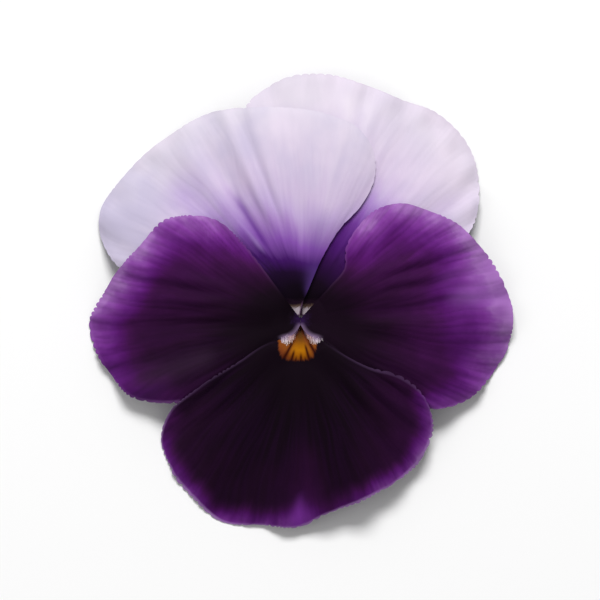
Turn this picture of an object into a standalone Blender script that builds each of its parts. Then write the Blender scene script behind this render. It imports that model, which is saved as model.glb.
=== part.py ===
"""A pansy flower picked with a short stalk, lying face up.

Five petals in layers stand on the rim of a small receptacle, each on a narrow claw that folds over
into the throat. The lower petal carries the nectar spur. Behind them are five green sepals, and in
the throat are the pistil and five stamens. X is to the right of the face, Y is up the face, and Z
is up from the surface that the flower lies on. Sizes are in millimetres until a mesh is made.
"""
import math

import bmesh
import bpy
import numpy as np

MM = 0.001

# Petals
PETAL_THICKNESS = 0.6
PETAL_SPACING = 1.4          # distance between the points of a petal's surface
PETAL_LENGTH = 30.0
PLEAT_MIN_WIDTH = 1.6        # half width of a pleat where it is narrowest
CLAW_ROWS = 6                # rows of points down each claw
LAYER_STEP = 1.1             # height of a petal above the one that it lies on
LAYER_FADE = 4.5             # how far outside the lower petal's edge the upper one sinks back
CENTRE_HEIGHT = 10.2         # height of the face at its middle, the knot between the side petals
CROWN = 0.9                  # how far the petals rise before they droop
DROOP_POWER = 2.4
REST_HEIGHT = 0.3            # half the thickness: a rim that lies on the surface
REST_SOFTNESS = 0.35
RUFFLE_HEIGHT = 0.4
RUFFLE_WIDTH = 5.0           # how far the ruffle of the rim reaches into the petal

# The rim as the drooping face sees it: bearing from the knot in degrees, distance and height
RIM = [
    (0, 32.6, 2.0), (12, 31.6, 2.4), (30, 33.0, 2.4), (52, 37.4, -0.6), (75, 38.0, 2.2),
    (100, 35.8, 2.6), (118, 35.2, 1.6), (135, 35.3, -0.6), (155, 33.5, 1.8), (172, 31.5, 1.2),
    (187, 32.2, -0.6), (202, 29.0, 2.2), (217, 26.6, 3.2), (232, 30.4, 1.8), (250, 33.2, -0.6),
    (270, 32.2, 1.8), (292, 30.0, 3.6), (306, 28.4, 4.4), (321, 26.4, 4.4), (335, 29.0, 2.0),
    (349, 32.2, -0.6),
]

# Receptacle, throat and stalk
RECEPTACLE_TOP = 5.0
RECEPTACLE_RADIUS = 2.1
NECK_RADIUS = 1.4
SEAT_GAP = 0.3               # clearance between pieces that stand on each other
SEAT_RADIUS = 1.75           # where the claws stand on the receptacle
STALK_RADIUS = 0.85
STAMEN_RING = 1.05
STAMEN_HEIGHT = 1.5
TAIL_RADIUS = 0.16
SPUR_WALL = 0.45

# Sepals
SEPAL_THICKNESS = 0.6
SEPAL_WIDTH = 4.6
SEPAL_BEARINGS = {"sepal_top": 90, "sepal_left": 162, "sepal_right": 18,
                  "sepal_lower_left": 226, "sepal_lower_right": 314}

# Each petal: its outline in plan, from one corner of its claw round to the other, the two points of
# it where the rim begins and ends, the hub that it fans out from and the way it points, the point
# that its pleats spread from, how deep it dips into the throat and from how far out, its pleats
# (bearing, half width in degrees, height), its ruffle (waves per degree and phase), the petals
# under it and its seat on the receptacle.
PETALS = {
    "upper_right_petal": {
        "outline": [
            (0.15, 0.6), (0.1, 3.1), (-1.2, 8.9), (-4.7, 17.7), (-7.8, 26.2), (-8.9, 30.5),
            (-7.9, 33.6), (-4.7, 36.0), (-0.1, 37.6), (4.5, 37.8), (9.5, 36.3), (15.3, 34.2),
            (21.2, 31.6), (24.9, 28.0), (27.0, 23.9), (27.5, 18.8), (26.4, 14.2), (23.8, 10.8),
            (18.4, 8.0), (10.7, 5.9), (4.5, 3.9), (2.2, 2.2), (1.2, 0.9),
        ],
        "shoulders": (5, 18), "hub": (0.4, 0.0), "bearing": 65,
        "base": (1.5, 3.1), "dip": (2.7, 4.0), "start_fold": 0.6,
        "pleats": [(86, 3.5, 0.35), (79, 3.0, 0.35), (72, 3.0, 0.3), (60, 4.0, -0.25),
                   (45, 5.0, 0.25), (35, 3.5, -0.3), (24, 4.0, 0.25), (98, 4.0, -0.25)],
        "ruffle": (0.105, 20.0), "lies_on": [],
        "seat": (0.85, 1.53), "colour": (0.62, 0.52, 0.72),
    },
    "upper_left_petal": {
        "outline": [
            (-1.2, 0.9), (-2.4, 2.3), (-7.8, 2.9), (-15.5, 3.5), (-21.6, 4.6), (-25.8, 6.5),
            (-29.0, 8.9), (-30.9, 13.1), (-30.7, 16.6), (-28.6, 20.6), (-24.7, 25.3),
            (-20.1, 28.8), (-14.7, 31.6), (-8.4, 32.8), (-1.6, 32.8), (4.7, 31.6), (8.9, 29.6),
            (11.2, 25.9), (11.3, 21.6), (9.2, 17.4), (6.1, 14.0), (3.3, 9.5), (1.3, 4.9),
            (0.5, 2.6), (-0.15, 0.6),
        ],
        "shoulders": (4, 19), "hub": (-0.4, 0.0), "bearing": 115,
        "base": (0.4, 2.6), "dip": (1.9, 3.0), "start_fold": 0.6,
        "pleats": [(122, 3.5, -0.55), (128, 3.5, 0.35), (137, 4.5, -0.3), (108, 4.0, -0.3),
                   (99, 3.5, 0.3), (90, 4.0, -0.25), (150, 5.0, 0.25), (76, 5.0, 0.25)],
        "ruffle": (0.09, 60.0), "lies_on": ["upper_right_petal"],
        "seat": (-0.85, 1.53), "colour": (0.62, 0.53, 0.74),
    },
    "left_side_petal": {
        "outline": [
            (-0.5, 0.6), (-1.6, 2.3), (-3.9, 5.4), (-6.5, 8.9), (-9.3, 12.3), (-13.2, 15.4),
            (-17.0, 16.2), (-20.9, 15.1), (-23.9, 12.3), (-27.0, 8.8), (-30.4, 4.3),
            (-32.4, -0.8), (-31.6, -4.2), (-29.5, -8.2), (-26.3, -11.6), (-21.6, -12.6),
            (-17.0, -12.2), (-12.7, -10.2), (-8.5, -7.1), (-4.6, -3.6), (-2.2, -2.2),
            (-0.5, -0.6),
        ],
        "shoulders": (5, 17), "hub": (0.0, 0.0), "bearing": 180,
        "base": (-0.5, 0.0), "dip": (0.5, 2.5), "start_fold": 0.9,
        "pleats": [(182, 3.5, -0.5), (175, 4.0, 0.3), (190, 4.0, 0.25), (208, 6.0, 0.35),
                   (198, 4.0, -0.25), (163, 4.0, -0.25), (152, 5.0, 0.25), (140, 4.0, -0.2)],
        "ruffle": (0.085, 10.0), "lies_on": ["upper_left_petal"],
        "seat": (-SEAT_RADIUS, -0.5), "colour": (0.1, 0.02, 0.13),
    },
    "right_side_petal": {
        "outline": [
            (0.5, -0.6), (1.8, -2.1), (3.4, -3.0), (6.4, -5.5), (11.0, -9.9), (16.1, -12.6),
            (21.5, -13.7), (26.1, -12.0), (29.5, -8.2), (32.1, -3.9), (32.6, 0.8), (30.7, 6.8),
            (27.6, 11.2), (24.3, 14.5), (19.9, 16.8), (15.3, 17.9), (11.5, 16.9), (8.7, 14.2),
            (6.9, 10.8), (6.7, 8.0), (4.5, 5.2), (2.4, 2.9), (0.5, 0.6),
        ],
        "shoulders": (4, 16), "hub": (0.0, 0.0), "bearing": 0,
        "base": (0.5, 0.0), "dip": (0.5, 2.5), "start_fold": 0.9,
        "pleats": [(5, 3.5, -0.5), (12, 4.0, 0.35), (-3, 4.0, 0.25), (-14, 4.5, -0.25),
                   (-24, 5.0, 0.25), (24, 4.0, -0.25), (34, 5.0, 0.3), (46, 4.0, -0.2)],
        "ruffle": (0.095, 40.0), "lies_on": ["upper_right_petal"],
        "seat": (SEAT_RADIUS, -0.5), "colour": (0.1, 0.02, 0.13),
    },
    "lower_petal": {
        "outline": [
            (-0.8, -1.4), (-1.9, -2.4), (-3.8, -3.4), (-9.3, -6.2), (-15.5, -10.2),
            (-20.4, -14.6), (-21.6, -18.5), (-20.1, -22.8), (-16.2, -27.6), (-12.1, -31.1),
            (-5.9, -32.0), (-0.5, -32.2), (3.8, -30.0), (9.5, -27.6), (14.7, -24.9),
            (18.7, -20.9), (20.4, -16.6), (19.0, -11.7), (15.6, -8.9), (10.4, -7.2),
            (5.8, -4.9), (3.1, -3.4), (0.8, -1.4),
        ],
        "shoulders": (6, 17), "hub": (0.0, -0.5), "bearing": 270,
        "base": (0.0, -1.5), "dip": (2.2, 3.5), "start_fold": 0.55,
        "pleats": [(226, 4.5, -0.25), (240, 5.0, 0.3), (253, 4.5, -0.25), (266, 5.0, 0.25),
                   (279, 4.5, -0.25), (292, 5.0, 0.3), (305, 4.5, -0.25), (318, 5.0, 0.25)],
        "ruffle": (0.08, 0.0), "lies_on": ["left_side_petal", "right_side_petal"],
        "seat": (0.0, -4.7), "colour": (0.05, 0.008, 0.05),
    },
}
LOWER_FREE_REACH = (3.6, 5.8)      # nearer the knot than this the lower petal lies on nothing


def smooth_step(low, high, value):
    share = np.clip((value - low) / (high - low), 0.0, 1.0)
    return share * share * (3.0 - 2.0 * share)


def chord_places(points):
    """Places of the points along their own polyline, from 0 to 1."""
    steps = np.hypot(*np.diff(points, axis=0).T)
    places = np.concatenate([[0.0], np.cumsum(steps)])
    return places / places[-1]


def curve_through(points, at):
    """A smooth curve through the points, read at the given fractions of its length."""
    points = np.asarray(points, dtype=float)
    places = chord_places(points)
    slopes = np.gradient(points, places, axis=0)
    span = np.clip(np.searchsorted(places, at, side="right") - 1, 0, len(places) - 2)
    width = places[span + 1] - places[span]
    t = ((at - places[span]) / width)[:, None]
    width = width[:, None]
    return ((2 * t**3 - 3 * t**2 + 1) * points[span] + (t**3 - 2 * t**2 + t) * width * slopes[span]
            + (3 * t**2 - 2 * t**3) * points[span + 1] + (t**3 - t**2) * width * slopes[span + 1])


def round_table(bearing, table, column):
    """A column of a table of bearings, read all the way round without a step."""
    bearings = np.array([row[0] for row in table], dtype=float)
    values = np.array([row[column] for row in table], dtype=float)
    bearings = np.concatenate([bearings[-2:] - 360, bearings, bearings[:3] + 360])
    values = np.concatenate([values[-2:], values, values[:3]])
    slopes = np.gradient(values, bearings)
    span = np.searchsorted(bearings, bearing, side="right") - 1
    width = bearings[span + 1] - bearings[span]
    t = (bearing - bearings[span]) / width
    return ((2 * t**3 - 3 * t**2 + 1) * values[span] + (t**3 - 2 * t**2 + t) * width * slopes[span]
            + (3 * t**2 - 2 * t**3) * values[span + 1] + (t**3 - t**2) * width * slopes[span + 1])


def inside_distance(x, y, outline):
    """Distance to a closed outline, positive inside it and negative outside."""
    start = outline
    end = np.roll(outline, -1, axis=0)
    run = end - start
    length = np.maximum((run**2).sum(axis=1), 1e-9)
    px = x[:, None] - start[None, :, 0]
    py = y[:, None] - start[None, :, 1]
    along = np.clip((px * run[:, 0] + py * run[:, 1]) / length, 0.0, 1.0)
    distance = np.hypot(px - along * run[:, 0], py - along * run[:, 1]).min(axis=1)
    above = start[None, :, 1] > y[:, None]
    crosses = above != (end[None, :, 1] > y[:, None])
    rise = np.where(np.abs(run[:, 1]) < 1e-9, 1e-9, run[:, 1])
    crossing = start[None, :, 0] + py * run[:, 0] / rise
    inside = (crosses & (x[:, None] < crossing)).sum(axis=1) % 2 == 1
    return np.where(inside, distance, -distance)


def petal_outline(petal):
    return curve_through(petal["outline"], np.linspace(0.0, 1.0, 160))


def face_height(x, y):
    """The drooping face that all the petals share."""
    bearing = np.degrees(np.arctan2(y, x)) % 360
    reach = np.hypot(x, y) / round_table(bearing, RIM, 1)
    drop = CENTRE_HEIGHT - round_table(bearing, RIM, 2)
    return CENTRE_HEIGHT + 4 * CROWN * reach * (1 - reach) - drop * reach**DROOP_POWER


def petal_relief(petal, x, y):
    """Pleats that spread from the petal's base, and the ruffle along its rim."""
    base = petal["base"]
    out = np.hypot(x - base[0], y - base[1])
    bearing = np.degrees(np.arctan2(y - base[1], x - base[0]))
    relief = np.zeros_like(x)
    narrowest = np.degrees(PLEAT_MIN_WIDTH / np.maximum(out, 1.0))
    for place, half_width, height in petal["pleats"]:
        turn = (bearing - place + 180) % 360 - 180
        relief += height * np.exp(-(turn / np.maximum(half_width, narrowest))**2)
    relief *= smooth_step(4.0, 13.0, out)
    waves, phase = petal["ruffle"]
    edge = inside_distance(x, y, petal_outline(petal))
    near_rim = (1 - smooth_step(0.0, RUFFLE_WIDTH, edge)) * smooth_step(10.0, 18.0, out)
    wave = np.sin(math.tau * waves * (bearing % 360) + math.radians(phase))
    return relief + RUFFLE_HEIGHT * near_rim * wave


def petal_height(name, x, y):
    """Height of the middle of a petal's thickness, over the petals that it lies on."""
    petal = PETALS[name]
    out = np.hypot(x, y)
    depth, width = petal["dip"]
    height = face_height(x, y) - depth * np.exp(-(out / width)**2) + petal_relief(petal, x, y)
    height = REST_HEIGHT + REST_SOFTNESS * np.log1p(np.exp((height - REST_HEIGHT) / REST_SOFTNESS))
    for under in petal["lies_on"]:
        edge = inside_distance(x, y, petal_outline(PETALS[under]))
        lies = smooth_step(-LAYER_FADE, -0.3, edge)
        if name == "lower_petal":
            lies = lies * smooth_step(*LOWER_FREE_REACH, out)
        lift = np.maximum(petal_height(under, x, y) + LAYER_STEP - height, 0.0)
        height = height + lies * lift
    return height


def fan_place(petal, points):
    """Distance and bearing of points from the petal's hub, with bearings from its middle."""
    across = points[:, 0] - petal["hub"][0]
    up = points[:, 1] - petal["hub"][1]
    turn = np.degrees(np.arctan2(up, across)) - petal["bearing"]
    return np.column_stack([np.hypot(across, up), (turn + 180) % 360 - 180])


def plan_patch(petal, u, v):
    """A point of the petal in plan: u runs across it and v from its claw out to its rim."""
    outline = np.array(petal["outline"])
    first, last = chord_places(outline)[list(petal["shoulders"])]
    corners = outline[0], outline[-1]
    segment = corners[0] + (corners[1] - corners[0]) * u[:, None]
    claw = fan_place(petal, segment)
    rim = fan_place(petal, curve_through(outline, first + (last - first) * u))
    left = fan_place(petal, curve_through(outline, first * v))
    right = fan_place(petal, curve_through(outline, 1 - (1 - last) * v))
    claw_ends = fan_place(petal, np.array(corners))
    rim_ends = fan_place(petal, curve_through(outline, np.array([first, last])))
    u = u[:, None]
    v = v[:, None]
    fan = ((1 - v) * claw + v * rim + (1 - u) * left + u * right
           - (1 - u) * ((1 - v) * claw_ends[0] + v * rim_ends[0])
           - u * ((1 - v) * claw_ends[1] + v * rim_ends[1]))
    turn = np.radians(fan[:, 1] + petal["bearing"])
    return np.column_stack([petal["hub"][0] + fan[:, 0] * np.cos(turn),
                            petal["hub"][1] + fan[:, 0] * np.sin(turn)])


def claw_rows(name, start_row):
    """Rows from the seat on the receptacle up to the fold where the blade begins."""
    petal = PETALS[name]
    start = start_row.mean(axis=0)
    across = start_row[-1] - start_row[0]
    seat = np.array([*petal["seat"], RECEPTACLE_TOP + SEAT_GAP])
    inward = -start[:2] / np.hypot(*start[:2]) * petal["start_fold"]
    ahead = start[:2] + inward
    fold = np.array([*ahead, petal_height(name, ahead[:1], ahead[1:])[0] - 0.1])
    rise = seat + np.array([0.0, 0.0, 0.55 * (start[2] - seat[2])])
    rows = []
    for step in range(CLAW_ROWS):
        t = step / CLAW_ROWS
        middle = ((1 - t)**3 * seat + 3 * t * (1 - t)**2 * rise
                  + 3 * t**2 * (1 - t) * fold + t**3 * start)
        width = 0.8 + 0.2 * t
        rows.append([middle + across * width * side for side in (-0.5, 0.0, 0.5)])
    return rows


def petal_rows(name):
    """Rows of points over the whole petal, with as many points in each as its width needs."""
    petal = PETALS[name]
    count = round(PETAL_LENGTH / PETAL_SPACING)
    rows = []
    for step in range(count + 1):
        v = step / count
        probe = plan_patch(petal, np.linspace(0, 1, 33), np.full(33, v))
        width = np.hypot(*np.diff(probe, axis=0).T).sum()
        pieces = max(2, round(width / PETAL_SPACING))
        u = np.linspace(0, 1, pieces + 1)
        plan = plan_patch(petal, u, np.full(pieces + 1, v))
        rows.append(np.column_stack([plan, petal_height(name, plan[:, 0], plan[:, 1])]))
    return claw_rows(name, rows[0]) + rows


def zip_rows(sheet, near, far):
    """Triangles between two rows that need not have the same number of points."""
    i = 0
    j = 0
    while i < len(near) - 1 or j < len(far) - 1:
        next_near = (i + 1) / (len(near) - 1)
        next_far = (j + 1) / (len(far) - 1)
        if j == len(far) - 1 or (i < len(near) - 1 and next_near <= next_far):
            sheet.faces.new((near[i], near[i + 1], far[j]))
            i += 1
        else:
            sheet.faces.new((near[i], far[j + 1], far[j]))
            j += 1


def new_collection(name):
    collection = bpy.data.collections.new(name)
    bpy.context.scene.collection.children.link(collection)
    return collection


def finish(name, colour, roughness):
    material = bpy.data.materials.new(name)
    material.use_nodes = True
    shader = material.node_tree.nodes["Principled BSDF"]
    shader.inputs["Base Color"].default_value = (*colour, 1.0)
    shader.inputs["Roughness"].default_value = roughness
    shader.inputs["Metallic"].default_value = 0.0
    return material


def object_from(name, mesh, collection, material=None):
    thing = bpy.data.objects.new(name, mesh)
    collection.objects.link(thing)
    if material:
        mesh.materials.append(material)
    return thing


def sheet_from_rows(name, rows, collection, material):
    """An open surface zipped together row by row, in metres."""
    sheet = bmesh.new()
    grid = [[sheet.verts.new([value * MM for value in point]) for point in row] for row in rows]
    for near, far in zip(grid, grid[1:]):
        zip_rows(sheet, near, far)
    bmesh.ops.recalc_face_normals(sheet, faces=sheet.faces)
    mesh = bpy.data.meshes.new(name)
    sheet.to_mesh(mesh)
    sheet.free()
    mesh.shade_smooth()
    return object_from(name, mesh, collection, material)


def thicken(thing, thickness):
    wall = thing.modifiers.new("thickness", "SOLIDIFY")
    wall.thickness = thickness * MM
    wall.offset = 0.0


def boolean(thing, other, operation):
    step = thing.modifiers.new(f"{operation.lower()} {other.name}", "BOOLEAN")
    step.operation = operation
    step.solver = "EXACT"
    step.object = other


def hide_cutter(cutter):
    cutter.hide_render = True
    cutter.display_type = "WIRE"


def tube(name, path, radii, collection, sides=3):
    """A closed mesh tube along a path, with a radius for each of its points."""
    line = bpy.data.curves.new(name, "CURVE")
    line.dimensions = "3D"
    line.bevel_depth = MM
    line.bevel_resolution = sides
    line.use_fill_caps = True
    spline = line.splines.new("POLY")
    spline.points.add(len(path) - 1)
    for point, place, radius in zip(spline.points, path, radii):
        point.co = (*(value * MM for value in place), 1.0)
        point.radius = radius
    guide = object_from(name, line, collection)
    mesh = bpy.data.meshes.new_from_object(guide.evaluated_get(bpy.context.evaluated_depsgraph_get()))
    bpy.data.objects.remove(guide)
    solid = bmesh.new()
    solid.from_mesh(mesh)
    bmesh.ops.remove_doubles(solid, verts=solid.verts, dist=1e-6)
    bmesh.ops.triangulate(solid, faces=solid.faces)
    bmesh.ops.recalc_face_normals(solid, faces=solid.faces)
    solid.to_mesh(mesh)
    solid.free()
    mesh.name = name
    return object_from(name, mesh, collection)


def smooth_path(points, count):
    """Evenly spaced points on a smooth curve through points in space."""
    points = np.asarray(points, dtype=float)
    steps = np.sqrt((np.diff(points, axis=0)**2).sum(axis=1))
    places = np.concatenate([[0.0], np.cumsum(steps)])
    slopes = np.gradient(points, places, axis=0)
    path = []
    for at in np.linspace(0, places[-1], count):
        span = min(int(np.searchsorted(places, at, side="right")) - 1, len(places) - 2)
        width = places[span + 1] - places[span]
        t = (at - places[span]) / width
        path.append((2 * t**3 - 3 * t**2 + 1) * points[span]
                    + (t**3 - 2 * t**2 + t) * width * slopes[span]
                    + (3 * t**2 - 2 * t**3) * points[span + 1]
                    + (t**3 - t**2) * width * slopes[span + 1])
    return path


def make_surface_cutter(cutters):
    """A block under the surface, which gives what lies on it a flat underside."""
    bpy.ops.mesh.primitive_cube_add(size=1.0)
    block = bpy.context.object
    block.name = "surface_cutter"
    for collection in list(block.users_collection):
        collection.objects.unlink(block)
    cutters.objects.link(block)
    for corner in block.data.vertices:
        corner.co.x *= 80 * MM
        corner.co.y *= 80 * MM
        corner.co.z = (corner.co.z - 0.5) * 10 * MM
    hide_cutter(block)
    return block


def make_petal(name, flower):
    petal = PETALS[name]
    material = finish(name, petal["colour"], 0.6)
    blade = sheet_from_rows(name, petal_rows(name), flower, material)
    thicken(blade, PETAL_THICKNESS)
    return blade


def add_spur(blade, cutters, surface):
    """The nectar spur behind the lower petal, a hollow horn that is open towards the throat."""
    path = smooth_path([(0, -3.6, 5.3), (0, -3.9, 4.3), (0, -4.7, 2.95), (0, -5.8, 1.65),
                        (0, -7.0, 0.95), (0, -8.1, 0.95)], 11)
    radii = [1.1, 1.14, 1.19, 1.24, 1.29, 1.33, 1.36, 1.36, 1.28, 1.05, 0.55]
    outer = tube("spur_outside", path, radii, cutters)
    above = np.array(path[0]) + (0.0, 0.25, 0.6)
    inside_path = [above] + path[:-2]
    inside_radii = [radii[0] - SPUR_WALL] + [radius - SPUR_WALL for radius in radii[:-3]] + [0.45]
    inner = tube("spur_inside", inside_path, inside_radii, cutters)
    boolean(blade, outer, "UNION")
    boolean(blade, inner, "DIFFERENCE")
    boolean(blade, surface, "DIFFERENCE")
    hide_cutter(outer)
    hide_cutter(inner)


def turned(name, profile, steps, collection, material):
    """A solid turned round the Z axis from a profile of radius and height, top to bottom."""
    mesh = bpy.data.meshes.new(name)
    edges = [(i, i + 1) for i in range(len(profile) - 1)]
    mesh.from_pydata([(radius * MM, 0.0, height * MM) for radius, height in profile], edges, [])
    thing = object_from(name, mesh, collection, material)
    screw = thing.modifiers.new("turning", "SCREW")
    screw.steps = steps
    screw.render_steps = steps
    screw.use_merge_vertices = True
    screw.merge_threshold = 1e-6
    screw.use_smooth_shade = True
    return thing


def make_stalk(flower, cutters, surface):
    """The receptacle that everything stands on, with the short cut stalk that grew it."""
    green = finish("stalk green", (0.16, 0.27, 0.06), 0.5)
    top = RECEPTACLE_TOP
    profile = [(0, top), (RECEPTACLE_RADIUS - 0.1, top), (RECEPTACLE_RADIUS, top - 0.12),
               (RECEPTACLE_RADIUS, top - 0.45), (RECEPTACLE_RADIUS - 0.15, top - 0.6),
               (NECK_RADIUS + 0.05, top - 0.75), (NECK_RADIUS, top - 1.2),
               (NECK_RADIUS - 0.3, top - 1.8), (STALK_RADIUS - 0.1, top - 2.2), (0, top - 2.3)]
    receptacle = turned("receptacle_and_stalk", profile, 20, flower, green)
    path = smooth_path([(0, 0, 3.6), (-0.3, 0.4, 2.5), (-1.2, 1.9, 1.3), (-2.6, 4.4, 0.68),
                        (-4.2, 7.4, 0.62), (-5.6, 10.6, 0.66)], 13)
    stalk = tube("stalk", path, [STALK_RADIUS] * 13, cutters)
    boolean(receptacle, stalk, "UNION")
    boolean(receptacle, surface, "DIFFERENCE")
    hide_cutter(stalk)
    return receptacle


def sepal_profile():
    """Radius and height along a sepal: the flap behind its foot, its foot and its blade."""
    return smooth_path([(2.35, 0.0, 2.75), (2.08, 0.0, 3.3), (2.1, 0.0, 3.85), (2.7, 0.0, 4.15),
                        (5.0, 0.0, 5.2), (9.0, 0.0, 7.0), (12.8, 0.0, 7.9), (16.0, 0.0, 7.9)], 17)


def make_sepal(name, bearing, flower, material):
    profile = sepal_profile()
    cos = math.cos(math.radians(bearing))
    sin = math.sin(math.radians(bearing))
    rows = []
    for step, (radius, _, height) in enumerate(profile):
        share = step / (len(profile) - 1)
        if share < 0.2:
            half = 0.55 + 0.3 * math.sin(math.pi * share / 0.2) ** 0.5
        else:
            blade = (share - 0.2) / 0.8
            half = 0.55 + (SEPAL_WIDTH / 2 - 0.55) * math.sin(math.pi * min(1, blade * 1.05)) ** 0.8
            half = max(half * (1 - 0.75 * blade ** 3), 0.22)
        row = []
        for side in (-1.0, -0.5, 0.0, 0.5, 1.0):
            offset = side * half
            cup = 0.12 * half * side * side
            row.append((radius * cos - offset * sin, radius * sin + offset * cos, height + cup))
        rows.append(row)
    sepal = sheet_from_rows(name, rows, flower, material)
    thicken(sepal, SEPAL_THICKNESS)
    return sepal


def make_pistil(flower):
    """Ovary, style and round stigma in the middle of the throat."""
    foot = RECEPTACLE_TOP + SEAT_GAP
    profile = [(0, foot + 2.35), (0.2, foot + 2.3), (0.36, foot + 2.1), (0.4, foot + 1.9),
               (0.34, foot + 1.7), (0.18, foot + 1.55), (0.15, foot + 1.3), (0.3, foot + 1.1),
               (0.52, foot + 0.8), (0.6, foot + 0.45), (0.5, foot + 0.1), (0.38, foot), (0, foot)]
    return turned("pistil", profile, 14, flower, finish("pistil green", (0.45, 0.5, 0.2), 0.45))


def make_stamen(name, bearing, tail, flower, cutters, material):
    """An anther that leans on the pistil, with its pale tip, and a tail where it has one."""
    body = bmesh.new()
    bmesh.ops.create_uvsphere(body, u_segments=8, v_segments=7, radius=0.5)
    cos = math.cos(math.radians(bearing))
    sin = math.sin(math.radians(bearing))
    foot = RECEPTACLE_TOP + SEAT_GAP
    for point in body.verts:
        share = point.co.z + 0.5
        out = STAMEN_RING - 0.3 * share ** 2 + point.co.x * 0.34
        across = point.co.y * 0.9
        point.co = ((out * cos - across * sin) * MM, (out * sin + across * cos) * MM,
                    (foot + share * STAMEN_HEIGHT) * MM)
    bmesh.ops.triangulate(body, faces=body.faces)
    mesh = bpy.data.meshes.new(name)
    body.to_mesh(mesh)
    body.free()
    mesh.shade_smooth()
    stamen = object_from(name, mesh, flower, material)
    if tail:
        side = math.copysign(1.0, cos)
        path = smooth_path([(side * 0.6, -0.85, foot + 0.55), (side * 0.5, -1.9, foot + 0.6),
                            (side * 0.36, -3.0, foot + 0.35), (side * 0.3, -3.65, 4.75),
                            (side * 0.3, -4.1, 3.9)], 8)
        spur_tail = tube(f"{name}_tail", path, [TAIL_RADIUS] * 8, cutters, sides=1)
        boolean(stamen, spur_tail, "UNION")
        hide_cutter(spur_tail)
    return stamen


def make_flower():
    for thing in list(bpy.data.objects):
        bpy.data.objects.remove(thing)
    flower = new_collection("pansy flower")
    cutters = new_collection("cutters")
    surface = make_surface_cutter(cutters)
    for name in PETALS:
        blade = make_petal(name, flower)
        if name == "lower_petal":
            add_spur(blade, cutters, surface)
    make_stalk(flower, cutters, surface)
    sepal_green = finish("sepal green", (0.13, 0.24, 0.05), 0.5)
    for name, bearing in SEPAL_BEARINGS.items():
        make_sepal(name, bearing, flower, sepal_green)
    make_pistil(flower)
    anther = finish("anther cream", (0.72, 0.5, 0.25), 0.6)
    for number, bearing in enumerate((90, 162, 234, 306, 18), start=1):
        make_stamen(f"stamen_{number}", bearing, bearing in (234, 306), flower, cutters, anther)
    return flower


def centre_in_plan(flower):
    """The origin is under the middle of the flower's box, on the surface that it lies on."""
    bpy.context.view_layer.update()
    graph = bpy.context.evaluated_depsgraph_get()
    low = np.array([np.inf, np.inf])
    high = -low
    for thing in flower.objects:
        mesh = thing.evaluated_get(graph).to_mesh()
        points = np.array([corner.co[:2] for corner in mesh.vertices])
        low = np.minimum(low, points.min(axis=0))
        high = np.maximum(high, points.max(axis=0))
    middle = (low + high) / 2
    for collection in bpy.data.collections:
        for thing in collection.objects:
            thing.location.x -= middle[0]
            thing.location.y -= middle[1]


centre_in_plan(make_flower())
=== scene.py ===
# Pansy flower picked with a short stalk, lying face up on a pale floor and seen from straight above.
# Plan sizes are millimetres from the knot, where the side petals meet over the throat.
import math
import bmesh
import bpy
import numpy as np
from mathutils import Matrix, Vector
from mathutils.geometry import delaunay_2d_cdt


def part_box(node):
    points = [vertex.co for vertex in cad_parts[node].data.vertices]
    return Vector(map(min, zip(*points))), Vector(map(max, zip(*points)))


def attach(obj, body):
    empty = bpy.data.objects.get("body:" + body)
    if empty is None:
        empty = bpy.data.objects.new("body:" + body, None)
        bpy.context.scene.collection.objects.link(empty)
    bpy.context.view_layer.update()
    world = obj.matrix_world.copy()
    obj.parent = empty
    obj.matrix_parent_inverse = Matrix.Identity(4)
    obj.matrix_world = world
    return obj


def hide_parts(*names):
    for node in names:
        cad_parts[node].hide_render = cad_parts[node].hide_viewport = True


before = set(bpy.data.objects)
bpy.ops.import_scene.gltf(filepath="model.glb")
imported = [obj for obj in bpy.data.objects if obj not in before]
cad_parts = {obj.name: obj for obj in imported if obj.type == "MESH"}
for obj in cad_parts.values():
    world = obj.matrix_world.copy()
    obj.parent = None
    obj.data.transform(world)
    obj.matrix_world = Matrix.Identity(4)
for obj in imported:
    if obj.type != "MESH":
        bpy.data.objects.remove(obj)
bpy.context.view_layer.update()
mm = 0.001
pistilLow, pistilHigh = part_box("pistil")
knot = np.array([pistilLow.x + pistilHigh.x, pistilLow.y + pistilHigh.y, 0.0]) / 2 / mm
print("frame loaded, knot at", knot.round(2), "mm")


def newObject(name, data):
    thing = bpy.data.objects.new(name, data)
    bpy.context.scene.collection.objects.link(thing)
    return thing


# Camera and light

view = {
    "height": 1200.0,         # lens above the floor
    "facePlane": 2.0,         # height of the rims that the scale is read at
    "pixel": 0.154,           # size of one pixel of the picture at that height
    "frame": 600,             # pixels on a side of the picture
    "knotPixel": (300.5, 320.0),
    "sensor": 36.0,
    "nearest": 50.0,          # the camera sees nothing closer
}

studio = {
    "key": {"place": (0.0, 800.0, 970.0), "size": (560.0, 370.0), "power": 14.3},
    "fill": {"place": (-420.0, -60.0, 480.0), "size": (300.0, 300.0), "power": 0.2},
    "sky": 0.34,
    "floorSize": 3.0,         # metres
    "paper": {"Base Color": (0.96, 0.96, 0.96, 1.0), "Roughness": 0.9, "Specular IOR Level": 0.1},
}


def makeCamera():
    eye = bpy.data.cameras.new("camera")
    middle = view["frame"] / 2
    across = knot[0] + (middle - view["knotPixel"][0]) * view["pixel"]
    up = knot[1] + (view["knotPixel"][1] - middle) * view["pixel"]
    camera = newObject("camera", eye)
    camera.location = (across * mm, up * mm, view["height"] * mm)
    eye.sensor_width = view["sensor"]
    distance = view["height"] - view["facePlane"]
    eye.lens = view["sensor"] * distance / (view["frame"] * view["pixel"])
    eye.clip_start = view["nearest"] * mm
    bpy.context.scene.camera = camera


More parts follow.
